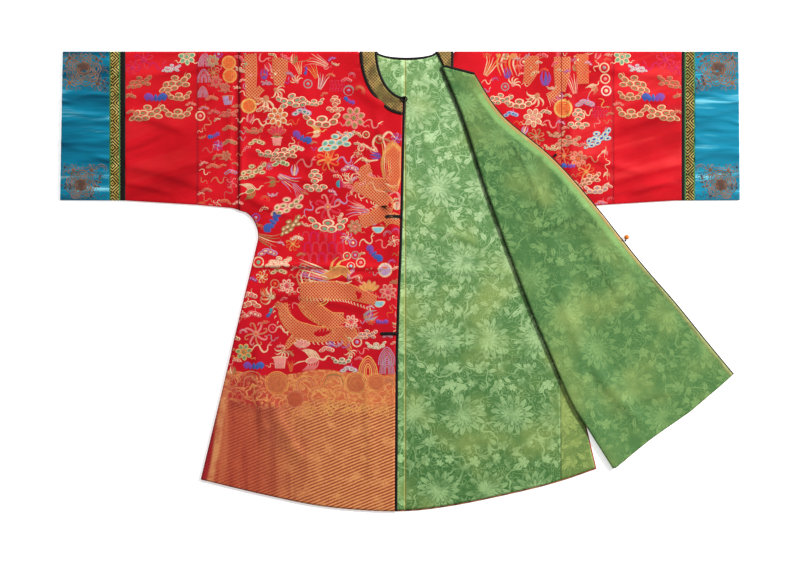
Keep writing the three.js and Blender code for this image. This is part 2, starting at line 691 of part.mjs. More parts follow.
function addSleeve({ side, sign, join, binding, ribbon, cuff, top, bottom }) {
  const pieces = [
    { name: `sleeve_${side}_upper`, from: ARMHOLE_X, to: join, colour: 'brocade' },
    { name: `sleeve_${side}_lower`, from: join, to: binding, colour: 'brocade' },
    { name: `sleeve_${side}_binding`, from: binding, to: ribbon, colour: 'black' },
    { name: `sleeve_${side}_ribbon`, from: ribbon, to: cuff, colour: 'fret' },
  ];
  for (const { name, from, to, colour } of pieces) {
    addPart(name, sleeveRing(sign, from + SEAM_GAP, to, to), colour);
  }
  addPart(`cuff_${side}`, sleeveRing(sign, cuff + SEAM_GAP, top, bottom), 'satin');
}

// A flat fabric loop: a strip with a rounded outer end, lying just above the right front
function loopStrip({ left, right, y }) {
  const half = LOOP.width / 2;
  const shape = new THREE.Shape();
  shape.moveTo(right, y - half);
  shape.lineTo(right, y + half);
  shape.lineTo(left + half, y + half);
  shape.absarc(left + half, y, half, Math.PI / 2, (3 * Math.PI) / 2, false);
  const cut = { depth: LOOP.height, bevelEnabled: false, curveSegments: 8 };
  const strip = new THREE.ExtrudeGeometry(shape, cut);
  strip.translate(0, 0, FRONT_TOP_Z + BINDING_PROUD + SEAM_GAP);
  return strip;
}

// A rounded stem between two points at one height
function stem({ from, to, z, radius }) {
  const length = Math.hypot(to.x - from.x, to.y - from.y);
  const capsule = new THREE.CapsuleGeometry(radius, length, 4, 10);
  capsule.rotateZ(Math.atan2(to.y - from.y, to.x - from.x) - Math.PI / 2);
  capsule.translate((from.x + to.x) / 2, (from.y + to.y) / 2, z);
  return capsule;
}

function neckLoop() {
  const { x, y, radius, cord, stretch } = NECK_LOOP;
  const ring = new THREE.TorusGeometry(radius, cord, 8, 16);
  ring.scale(stretch, 1, 1);
  ring.translate(x, y, BANDS[1].right + BANDS[1].cloth / 2 + SEAM_GAP + cord);
  return ring;
}

addPart('body_right', rightBody(), 'brocade');
addPart('body_left', leftBody(), 'brocade');
addPart('lining_back_right', backLining(-1), 'lining');
addPart('lining_back_left', backLining(1), 'lining');
addPart('lining_gore', liningGore(), 'gore');
addPart('lining_front_left', turnedLining(), 'turned_lining');
SLEEVES.forEach(addSleeve);
for (const band of BANDS) {
  addPart(band.name, neckBand(band), band.name === 'collar' ? 'fret' : 'black');
}
addPart('neck_piping_left', edgeStrip(LEFT_FRONT.turned[0], 1, TURNED_PIPING_WIDTH), 'black');
addPart('front_binding_right', rightBinding(), 'black');
const turnedEdge = LEFT_FRONT.turned.map((row) => row[row.length - 1]);
addPart('front_binding_left', edgeStrip(turnedEdge, 1, TURNED_BINDING_WIDTH), 'black');
for (const loop of LOOPS) {
  addPart(loop.name, loopStrip(loop), 'black');
}
addPart('loop_neck', neckLoop(), 'black');
addPart('knot_chest', stem(CHEST_KNOT), 'black');
addPart('button_stem', stem(WAIST_STEM), 'black');
const ball = new THREE.SphereGeometry(WAIST_BALL.radius, 16, 10);
ball.translate(WAIST_BALL.x, WAIST_BALL.y, WAIST_BALL.radius);
addPart('button_ball', ball, 'button');

export default robe;
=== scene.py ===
"""A front-opening silk dragon robe laid flat on its back, with the wearer's left front folded open.

Sizes are in millimetres and become metres when a mesh is made. +X is the wearer's left, +Y runs from
the hem to the shoulders, and z = 0 is the table.
"""

import bpy
import numpy as np
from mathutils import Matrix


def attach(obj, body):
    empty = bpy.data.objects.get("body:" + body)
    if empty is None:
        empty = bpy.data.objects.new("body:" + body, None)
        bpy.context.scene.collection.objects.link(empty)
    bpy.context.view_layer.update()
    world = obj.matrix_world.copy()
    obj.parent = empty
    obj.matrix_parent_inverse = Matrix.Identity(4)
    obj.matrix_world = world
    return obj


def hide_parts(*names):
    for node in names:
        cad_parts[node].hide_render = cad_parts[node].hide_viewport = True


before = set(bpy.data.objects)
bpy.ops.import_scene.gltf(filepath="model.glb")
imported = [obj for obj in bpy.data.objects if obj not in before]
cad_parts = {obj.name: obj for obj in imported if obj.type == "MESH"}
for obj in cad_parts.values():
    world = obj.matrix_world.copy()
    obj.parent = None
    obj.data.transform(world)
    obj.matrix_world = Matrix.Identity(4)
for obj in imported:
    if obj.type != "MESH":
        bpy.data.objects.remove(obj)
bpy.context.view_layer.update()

MM = 0.001
PI = np.pi

# Overall cut
SHOULDER_Y = 529
UNDERARM_Y = 164
ARMHOLE_X = 371
FILLET_HEIGHT = 65
FILLET_WIDTH = 46
SLIT_TOP_Y = -160
SIDE_HEM_X = 458
SIDE_HEM_Y = -455
BACK_SEAM_X = 8
LINING_SEAM_X = 12
LINING_INSET = 3
SEAM_GAP = 0.3

# Thickness of each cloth, and the middle of each layer above the table
BACK_CLOTH = 1.2
LINING_CLOTH = 1.0
FRONT_CLOTH = 2.0
OPEN_FRONT_CLOTH = 1.2
SLEEVE_CLOTH = 1.3
BACK_Z = BACK_CLOTH / 2
BACK_LINING_Z = 2.0
FRONT_Z = 3.8
OPEN_FRONT_Z = 4.2
FRONT_TOP_Z = 4.8

# Neck opening: half an ellipse in front and a shallow one behind, each set out by an offset
NECK_X = 15
NECK_HALF_WIDTH = 67
NECK_FRONT_DEPTH = 106
NECK_BACK_DEPTH = 14
LINING_NECK_OFFSET = 6.3
FRONT_NECK_OFFSET = 8.5
BACK_NECK_OFFSET = 42.5
FRONT_NECK_DROP = 7
LINING_TOP_DROP = 4

# Right front's opening edge from the hem up to the neck, as y and x, and its binding
FRONT_EDGE = [(-528.4, -12.4), (SLIT_TOP_Y, -10.4), (-44, -6.9), (71, -1.9), (UNDERARM_Y, 0.6), (418.4, 6.2)]
FRONT_HEM_Y = FRONT_EDGE[0][0]
FRONT_EDGE_TOP_Y, FRONT_EDGE_TOP_X = FRONT_EDGE[-1]
BINDING_WIDTH = 6.2
BINDING_PROUD = 0.4
BINDING_END = 1.7
TURNED_BINDING_WIDTH = 2.6
TURNED_PIPING_WIDTH = 5.7

# Hem of the robe from the wearer's right corner to the left corner, as x and y
HEM = [
    (-458, -455), (-312, -490), (-171, -517.5), (-9, -528.4), (109, -517.5), (247, -490), (360, -462),
    (454, -430),
]

# The left front, as x and y: leftmost reach of its fold, and the front edge turned over
FOLD_LINE = [
    (98, 490), (146, 374), (206, 189), (293, -44), (342, -159), (392, -274), (434, -343), (489, -430),
]
TURNED_EDGE = [
    (171, 474), (233, 382), (350, 282), (450, 170), (550, 45), (632, -50), (700, -134), (766, -214),
]
# How far the turned hem stands out from a straight line, by the share of its way from the fold
TURNED_HEM_BOW = [(0, 2), (0.3, 0), (0.62, 6.5), (0.9, 2.5), (1, 0)]
BOW_START = 0.75
HIDDEN_TOP_Y = 500
HIDDEN_HEM_CORNER = (552, -358)
FOLD_RADIUS = 2.4
LINING_STEP = 1.4
FOLD_REACH = FOLD_RADIUS + LINING_STEP + LINING_CLOTH / 2
FOLD_SETTLE = 70
TAIL_LENGTH = 30
TURNED_Z = 6.5
TURNED_NECK_Z = 8.2
TURNED_ON_HEM_Z = 3.9
NECK_RISE_END = (0.02, 0.12)
UNDER_TAIL = 2.1
UNDER_FLAT = 1.4
DROP_START = 14
DROP_END = 70

# The back lining's left hem corner is pieced out with a gore beyond this seam
GORE_X = 369
GORE_TOP_Y = -112

# Neck bands by their offsets from the neck's inner edge
BANDS = {
    "neck_piping": dict(
        inner=0, outer=6, cloth=2.4, back=1.25, right=4.45, left=4.45, end_x=12.5, reach=0.8,
    ),
    "collar": dict(
        inner=6.3, outer=35, cloth=1.0, back=0.5, right=5.6, left=6.1, end_x=5.5, reach=1,
    ),
    "collar_edging": dict(
        inner=34.7, outer=41, cloth=1.2, back=0.6, right=5.7, left=6.2, end_x=5.3, reach=1,
    ),
}
COLLAR_INNER = 6.6
COLLAR_OUTER = 34.7
BAND_LEAN = 15.4
BAND_END_INNER_Y = 492
BAND_END_OUTER_Y = 482

# Sleeves: the bottom edge as x and y, and where each piece of each sleeve starts
SLEEVE_BOTTOM = [(371, 164), (385, 168.5), (466, 176), (632, 186), (790, 187)]
SLEEVES = {
    "right": dict(sign=-1, join=466, binding=631, ribbon=643, cuff=668, top=775, bottom=781),
    "left": dict(sign=1, join=489, binding=647, ribbon=654, cuff=678, top=778, bottom=781),
}

# Closures
LOOPS = {"loop_chest": dict(left=-34, right=5, y=149.5), "loop_waist": dict(left=-45, right=-4, y=-119.6)}
LOOP_WIDTH = 7
LOOP_HEIGHT = 1.8
KNOT = dict(start=(354.6, 287.4), end=(358.5, 292), z=7.6, radius=2.4)
STEM = dict(start=(518.2, 93.4), end=(518.8, 95), z=2.4, radius=1.8)
NECK_LOOP = dict(x=9.5, y=419, radius=5.2, cord=1.7, stretch=1.25)
BALL = dict(x=520.7, y=101.9, radius=5.8)

# Steps of the fine grids: down the yoke, the side seam and the skirt, and along the shoulder and neck
YOKE_STEPS = 72
SIDE_STEPS = 66
SKIRT_STEPS = 74
SIDE_LEVELS = np.linspace(UNDERARM_Y, SLIT_TOP_Y, SIDE_STEPS + 1)
YOKE_SHARES = np.linspace(0, 1, YOKE_STEPS + 1)[:-1]
SKIRT_SHARES = np.linspace(0, 1, SKIRT_STEPS + 1)[1:]
ROLL_STEPS = 8


def lerp(start, end, share):
    """The place that share of the way from start to end."""
    return start + (end - start) * share


def smoothstep(value, low, high):
    """0 below low, 1 above high, and an S-shaped rise between them. It falls instead if low is higher."""
    share = np.clip((value - low) / (high - low), 0, 1)
    return share * share * (3 - 2 * share)


def read(table, at):
    """The second column of a table where its first column, rising, reaches at."""
    first, second = np.array(table, float).T
    return np.interp(at, first, second)


def curve_through(table, steps=80):
    """Many points of the Catmull-Rom curve through a table's points."""
    points = np.array(table, float)
    last = len(points) - 1
    along = np.linspace(0, last, steps * last + 1)
    i = np.minimum(along.astype(int), last - 1)
    w = (along - i)[:, None]
    before, start, end, after = (points[np.clip(i + k, 0, last)] for k in (-1, 0, 1, 2))
    pull_in, pull_out = (end - before) / 2, (after - start) / 2
    cubic = 2 * start - 2 * end + pull_in + pull_out
    square = -3 * start + 3 * end - 2 * pull_in - pull_out
    return ((cubic * w + square) * w + pull_in) * w + start


def along_curve(curve, shares):
    """Points at shares of a curve's length, and the unit directions there."""
    lengths = np.concatenate([[0], np.cumsum(np.linalg.norm(np.diff(curve, axis=0), axis=1))])
    at = np.asarray(shares) * lengths[-1]
    slope = np.gradient(curve, axis=0)
    points = np.stack([np.interp(at, lengths, column) for column in curve.T], -1)
    direction = np.stack([np.interp(at, lengths, column) for column in slope.T], -1)
    return points, direction / np.linalg.norm(direction, axis=-1, keepdims=True)


HEM_CURVE = curve_through(HEM)


def side_half_width(y):
    """Straight at the armhole, a quarter of an ellipse under it, then an even flare to the hem."""
    fillet_end = UNDERARM_Y - FILLET_HEIGHT
    share = np.clip((y - fillet_end) / FILLET_HEIGHT, 0, 1)
    rounded = ARMHOLE_X - FILLET_WIDTH * np.sqrt(1 - share**2)
    flare = lerp(ARMHOLE_X - FILLET_WIDTH, SIDE_HEM_X, (fillet_end - y) / (fillet_end - SIDE_HEM_Y))
    return np.where(y > fillet_end, rounded, flare)


def front_edge_x(y):
    """Where the right front's opening edge is at height y."""
    return read(FRONT_EDGE, y)


def hem_y(x):
    """Height of the hem at x."""
    return np.interp(x, *HEM_CURVE.T)


def neck_xy(offset, angle, depth, sign):
    """A point of a neck curve, half an ellipse, by its angle from the shoulder line."""
    x = NECK_X + sign * (NECK_HALF_WIDTH + offset) * np.cos(angle)
    return x, SHOULDER_Y - (depth + offset) * np.sin(angle)


def neck_angle_at(offset, x, sign):
    """Angle at which a neck curve reaches x."""
    return np.arccos(np.clip(sign * (x - NECK_X) / (NECK_HALF_WIDTH + offset), -1, 1))


def neck_angle_down(offset, depth, y):
    """Angle at which a neck curve reaches y."""
    return np.arcsin(np.clip((SHOULDER_Y - y) / (depth + offset), 0, 1))


def grid_of(x, y, z, thickness):
    """One array of points with their cloth's thickness: x, y, z and thickness, all of one shape."""
    return np.stack(np.broadcast_arrays(*map(np.asarray, (x, y, z, thickness))), -1).astype(float)


def numbered(rows, columns):
    """The numbers of a grid's points, in its rows and columns."""
    return np.arange(rows * columns).reshape(rows, columns)


def triangles_of(*triangles):
    """Triangles given as arrays of their three corners, all in one list."""
    return np.concatenate([np.stack(corners, -1).reshape(-1, 3) for corners in triangles])


def grid_faces(ids):
    """Two triangles in each cell of a grid of point numbers."""
    a, b, c, d = ids[:-1, :-1], ids[1:, :-1], ids[1:, 1:], ids[:-1, 1:]
    return triangles_of((a, b, c), (a, c, d))


def ring_faces(below, above):
    """Two triangles in each cell between closed rings of point numbers and the rings beyond them."""
    beside, beyond = np.roll(below, -1, axis=1), np.roll(above, -1, axis=1)
    return triangles_of((below, beside, beyond), (below, beyond, above))


def facing_out(points, faces):
    """The triangles of a closed form, turned over where they would enclose a negative volume."""
    a, b, c = (points[faces[:, k]] for k in range(3))
    return faces[:, ::-1] if (a * np.cross(b, c)).sum() < 0 else faces


def merged(points, faces):
    """Points that agree to a thousandth of a millimetre made one, less triangles that this closes up."""
    keys = np.round(points[:, :3] * 1000).astype(np.int64)
    unused, first, number = np.unique(keys, axis=0, return_index=True, return_inverse=True)
    faces = number.reshape(-1)[faces]
    a, b, c = faces.T
    return points[first], faces[(a != b) & (b != c) & (c != a)]


def join_grids(grids):
    """Points and triangles of several grids as one sheet, with the points where they meet made one."""
    points = np.concatenate([grid.reshape(-1, 4) for grid in grids])
    triangles, start = [], 0
    for grid in grids:
        triangles.append(grid_faces(numbered(*grid.shape[:2])) + start)
        start += grid.shape[0] * grid.shape[1]
    return merged(points, np.concatenate(triangles))


def point_normals(points, triangles):
    """The sum of the unit normals of the triangles round each point, made a unit again."""
    a, b, c = (points[triangles[:, k], :3] for k in range(3))
    face = np.cross(b - a, c - a)
    face /= np.maximum(np.linalg.norm(face, axis=1, keepdims=True), 1e-12)
    corners = triangles.T.reshape(-1)
    sums = [np.bincount(corners, np.tile(face[:, k], 3), len(points)) for k in range(3)]
    normals = np.stack(sums, -1)
    return normals / np.maximum(np.linalg.norm(normals, axis=1, keepdims=True), 1e-12)


def moved_out(grid, distance, thickness):
    """The same grid moved along its own normals, as a lining lies on its cloth."""
    flat = grid.reshape(-1, 4)
    triangles = grid_faces(numbered(*grid.shape[:2]))
    moved = flat[:, :3] + point_normals(flat, triangles) * distance
    return grid_of(*moved.T, thickness).reshape(grid.shape)


def wall(grids):
    """A closed wall: each point of the joined grids moves half its thickness to each side, and a rim
    closes the free edges. Gives points, triangles and which triangles are the rim's."""
    points, triangles = join_grids(grids)
    normals = point_normals(points, triangles)
    half = points[:, 3:] / 2
    count = len(points)
    both = np.concatenate([points[:, :3] + normals * half, points[:, :3] - normals * half])
    edges = np.concatenate([triangles[:, [0, 1]], triangles[:, [1, 2]], triangles[:, [2, 0]]])
    free = ~np.isin(edges[:, 0] * count + edges[:, 1], edges[:, 1] * count + edges[:, 0])
    start, end = edges[free].T
    rim = triangles_of((end, start, start + count), (end, start + count, end + count))
    faces = facing_out(both, np.concatenate([triangles, triangles[:, ::-1] + count, rim]))
    is_rim = np.arange(len(faces)) >= 2 * len(triangles)
    return both, faces, is_rim


def make_mesh(name, points, faces, material, flat_faces=None, colours=None):
    """A mesh object from arrays of points in millimetres and triangles, smooth but for flat_faces."""
    mesh = bpy.data.meshes.new(name)
    mesh.vertices.add(len(points))
    mesh.vertices.foreach_set("co", (np.asarray(points) * MM).astype(np.float32).ravel())
    mesh.loops.add(faces.size)
    mesh.loops.foreach_set("vertex_index", faces.astype(np.int32).ravel())
    mesh.polygons.add(len(faces))
    mesh.polygons.foreach_set("loop_start", np.arange(0, faces.size, 3, dtype=np.int32))
    mesh.update(calc_edges=True)
    smooth = np.ones(len(faces), bool) if flat_faces is None else ~flat_faces
    mesh.polygons.foreach_set("use_smooth", smooth)
    if colours is not None:
        paint = mesh.color_attributes.new("silk", "FLOAT_COLOR", "POINT")
        paint.data.foreach_set("color", np.asarray(colours, np.float32).ravel())
    mesh.validate()
    mesh.materials.append(material)
    made = bpy.data.objects.new(name, mesh)
    bpy.context.scene.collection.objects.link(made)
    return made


class Field:
    """A shader's value that takes part in sums. Each sum adds a Math node."""

    def __init__(self, tree, value):
        self.tree = tree
        self.value = value

    def sum(self, operation, *others):
        inputs = {0: self.value}
        for index, other in enumerate(others, 1):
            inputs[index] = other.value if isinstance(other, Field) else float(other)
        return Field(self.tree, node(self.tree, "Math", inputs, operation=operation).outputs[0])

    def __add__(self, other):
        return self.sum("ADD", other)

    def __sub__(self, other):
        return self.sum("SUBTRACT", other)

    def __mul__(self, other):
        return self.sum("MULTIPLY", other)

    def __truediv__(self, other):
        return self.sum("DIVIDE", other)

    def abs(self):
        return self.sum("ABSOLUTE")

    def sin(self):
        return self.sum("SINE")

    def cos(self):
        return self.sum("COSINE")

    def root(self):
        return self.sum("SQRT")

    def whole(self):
        return self.sum("FLOOR")

    def part(self):
        return self.sum("FRACT")

    def most(self, other):
        return self.sum("MAXIMUM", other)

    def rest(self):
        """What the value leaves of 1."""
        return Field(self.tree, 1.0) - self

    def rise(self, low, high):
        """0 below low and 1 above high with a smooth rise between them, or the reverse if high is lower."""
        if high < low:
            return self.rise(high, low).rest()
        made = node(self.tree, "MapRange", {0: self.value, 1: low, 2: high}, interpolation_type="SMOOTHSTEP")
        return Field(self.tree, made.outputs[0])

    def near(self, middle, half, soft):
        """1 within half of a middle value, falling to 0 over soft."""
        return (self - middle).abs().rise(half + soft, half)


def node(tree, kind, inputs=None, **settings):
    """Adds a shader node. inputs gives each input a value, a field or a socket."""
    made = tree.nodes.new("ShaderNode" + kind)
    for key, value in settings.items():
        setattr(made, key, value)
    for key, value in (inputs or {}).items():
        put(tree, made.inputs[key], value)
    return made


def put(tree, socket, value):
    """Joins a field or socket to an input, or sets the input's own value."""
    if isinstance(value, Field):
        value = value.value
    if isinstance(value, bpy.types.NodeSocket):
        tree.links.new(value, socket)
    else:
        socket.default_value = value


def mixed(tree, factor, first, second):
    """The colour that factor of the way from first to second."""
    made = node(tree, "Mix", data_type="RGBA")
    for index, value in ((0, factor), (6, first), (7, second)):
        put(tree, made.inputs[index], value)
    return made.outputs[2]


def srgb(red, green, blue):
    """A colour as a shader needs it, from its values as seen, out of 255."""
    seen = np.array([red, green, blue]) / 255
    return (*np.where(seen <= 0.04045, seen / 12.92, ((seen + 0.055) / 1.055) ** 2.4), 1.0)


def new_material(name):
    """An empty material, its node tree, and the place of each point on the object."""
    material = bpy.data.materials.new(name)
    material.use_nodes = True
    tree = material.node_tree
    tree.nodes.clear()
    return material, tree, node(tree, "TexCoord").outputs["Object"]


def flat_place(tree, place):
    """The place's x and y in millimetres, as fields."""
    split = node(tree, "SeparateXYZ", {0: place})
    return [Field(tree, split.outputs[k]) * 1000 for k in range(2)]


def finish_material(tree, colour, height, bump, specular=0.2, **sockets):
    """Ends a material: colour and roughness, with the height field as its bump, bump metres deep."""
    relief = node(tree, "Bump", {"Height": height, "Distance": bump, "Strength": 1.0})
    shader = node(tree, "BsdfPrincipled", {"Normal": relief.outputs[0], "Base Color": colour})
    shader.inputs["Specular IOR Level"].default_value = specular
    for key, value in sockets.items():
        put(tree, shader.inputs[key.replace("_", " ").title()], value)
    output = node(tree, "OutputMaterial")
    tree.links.new(shader.outputs[0], output.inputs["Surface"])


def noise(tree, place, scale, detail=3.0, stretch=(1, 1, 1)):
    """Soft uneven spots from 0 to 1, scale of them a metre, stretched along the axes."""
    mapped = node(tree, "Mapping", {"Vector": place, "Scale": stretch})
    spots = node(tree, "TexNoise", {"Vector": mapped.outputs[0], "Scale": scale, "Detail": detail})
    return Field(tree, spots.outputs[0])


def weave(x, y, warp, weft):
    """Threads crossing, 0 to 1: two rows of waves at right angles, with a thread every warp and weft mm."""
    return (x * (2 * PI / warp)).sin() * (y * (2 * PI / weft)).sin() * 0.5 + 0.5


def silk(name, dark, light, roughness=0.5, sheen=0.03, bump=0.00012):
    """Plain woven silk: slow changes of shade, slubs along the weft, and a fine weave raised as bump."""
    material, tree, place = new_material(name)
    x, y = flat_place(tree, place)
    slubs = noise(tree, place, 60, 3, (1, 14, 1))
    shade = noise(tree, place, 9, 4) * 0.65 + slubs * 0.35
    colour = mixed(tree, shade.rise(0.32, 0.68), dark, light)
    relief = weave(x, y, 1.1, 1.6) * 0.5 + slubs
    finish_material(tree, colour, relief, bump, roughness=roughness, sheen_weight=sheen)
    return material


def warped(tree, place, scale, reach):
    """The place moved about unevenly by up to reach metres, so that a repeat is never quite the same."""
    spots = node(tree, "TexNoise", {"Vector": place, "Scale": scale, "Detail": 2.0})
    shift = node(tree, "VectorMath", {0: spots.outputs[1], 1: (0.5, 0.5, 0.5)}, operation="SUBTRACT")
    scaled = node(tree, "VectorMath", {0: shift.outputs[0], "Scale": 2 * reach}, operation="SCALE")
    return node(tree, "VectorMath", {0: place, 1: scaled.outputs[0]}, operation="ADD").outputs[0]


def blossom(u, v, radius, petals, notch, core):
    """A flower from in front: petals round a middle, lighter than the lines between them."""
    reach = (u * u + v * v).root()
    beat = (v.sum("ARCTAN2", u) * (petals / 2)).cos().abs()
    outline = (beat * notch + (1 - notch)) * radius
    share = reach / outline
    lines = beat.rise(0.1, 0.32).most(reach.rise(core * radius * 1.3, core * radius))
    return share.rise(1.04, 0.94) * lines, share


def leaf(u, v, place_u, place_v, angle, length, width):
    """A pointed leaf: two arcs that meet at its ends, with a vein."""
    turn = np.radians(angle)
    along = ((u - place_u) * np.cos(turn) + (v - place_v) * np.sin(turn)) / (length / 2)
    off = ((v - place_v) * np.cos(turn) - (u - place_u) * np.sin(turn)) / (width / 2)
    edge = along * along + off.abs()
    return edge.rise(1.05, 0.85) * off.abs().rise(0.04, 0.16)


# Damask repeat: its width and height, its small flowers as place and size, and its leaves as place,
# angle, length and width
REPEAT_WIDTH = 112
REPEAT_HEIGHT = 175
SMALL_FLOWERS = [(-30, 68, 13), (22, 74, 11), (34, -64, 13), (-20, -70, 12), (2, 62, 8)]
LEAVES = [
    (-46, 56, 50, 22, 10), (-8, 80, -30, 22, 9), (44, 62, -50, 24, 10), (46, -52, 30, 22, 10),
    (10, -76, 20, 24, 10), (-42, -60, -40, 24, 10), (-4, -60, 70, 18, 8),
]


def damask(name, ground, figure, turn=0.0, strength=1.0, marked=False):
    """Green damask: tonal chrysanthemums in a half-drop repeat with small flowers, leaves and curling
    stems. ground and figure are each a pair of colours, at the hem and at the shoulders. Where it is
    marked, the points' own colours say where it is lighter, tan or under a painted shadow, in that order."""
    material, tree, place = new_material(name)
    x, y = flat_place(tree, place)
    spun = node(tree, "Mapping", {"Vector": place, "Rotation": (0, 0, turn)}).outputs[0]
    u, v = flat_place(tree, warped(tree, spun, 22, 0.009))
    row = v / REPEAT_HEIGHT + 0.25
    column = u / REPEAT_WIDTH + row.whole() * 0.5 + 0.2
    u, v = (column.part() - 0.5) * REPEAT_WIDTH, (row.part() - 0.5) * REPEAT_HEIGHT
    outer, share = blossom(u, v * 1.12, 53, 15, 0.42, 0.3)
    inner, unused = blossom(u, v * 1.12, 30, 11, 0.4, 0.3)
    edge = share.near(0.62, 0.02, 0.05)
    figures = outer * (edge * 0.7).rest() * 0.85 + inner * 0.2
    for place_u, place_v, size in SMALL_FLOWERS:
        small, unused = blossom(u - place_u, v - place_v, size, 5, 0.3, 0.25)
        figures = figures.most(small)
    for row_of_leaf in LEAVES:
        figures = figures.most(leaf(u, v, *row_of_leaf))
    stems = noise(tree, spun, 15, 1.5).near(0.5, 0.004, 0.012)
    away = share.rise(0.98, 1.1)
    figures = figures.most(stems * away * 0.9)
    tracery = (noise(tree, spun, 52, 1.0) * 7).part().near(0.5, 0.1, 0.14)
    figures = figures.most(tracery * away * 0.5) * (tracery * share.rise(0.9, 0.6) * 0.35).rest()
    uneven = noise(tree, place, 26, 4)
    figures = figures * uneven.rise(0.25, 0.6) * strength
    slubs = noise(tree, place, 70, 3, (1, 16, 1))
    height_share = y.rise(-520, 460)
    base = mixed(tree, height_share, ground[0], ground[1])
    lit = mixed(tree, height_share, figure[0], figure[1])
    colour = mixed(tree, figures, base, lit)
    colour = mixed(tree, noise(tree, place, 7, 5).rise(0.45, 0.75) * 0.45, colour, srgb(176, 190, 104))
    colour = mixed(tree, slubs.rise(0.4, 0.8) * 0.18, colour, srgb(60, 104, 56))
    seam = x.near(LINING_SEAM_X, 1.6, 1.6) * x.near(LINING_SEAM_X, 0.2, 0.4).rest()
    colour = mixed(tree, seam * (0.0 if turn else 0.6), colour, srgb(190, 186, 96))
    if marked:
        paint = node(tree, "VertexColor", layer_name="silk").outputs["Color"]
        marks = node(tree, "SeparateColor", {0: paint})
        paler, tan, shadow = (Field(tree, marks.outputs[k]) for k in range(3))
        colour = mixed(tree, paler * uneven.rise(0.2, 0.5) * 0.75, colour, srgb(150, 196, 116))
        colour = mixed(tree, tan * uneven.rise(0.25, 0.5) * 0.8, colour, srgb(190, 140, 84))
        # Painted shadow: darkened where the third mark asks for it.
        colour = mixed(tree, shadow, colour, srgb(16, 30, 12))
    relief = figures * 0.8 + slubs * 0.4 + weave(x, y, 0.9, 1.3) * 0.15
    rough = Field(tree, 0.52) - figures * 0.1
    finish_material(tree, colour, relief, 0.00022, roughness=rough, sheen_weight=0.04)
    return material


# The striped wave hem: where it starts, and its stripes' slope and pitch
HEM_PATTERN_Y = -208
BILLOW_DEPTH = 84
STRIPE_SLOPE = 0.4
STRIPE_PITCH = 7.4


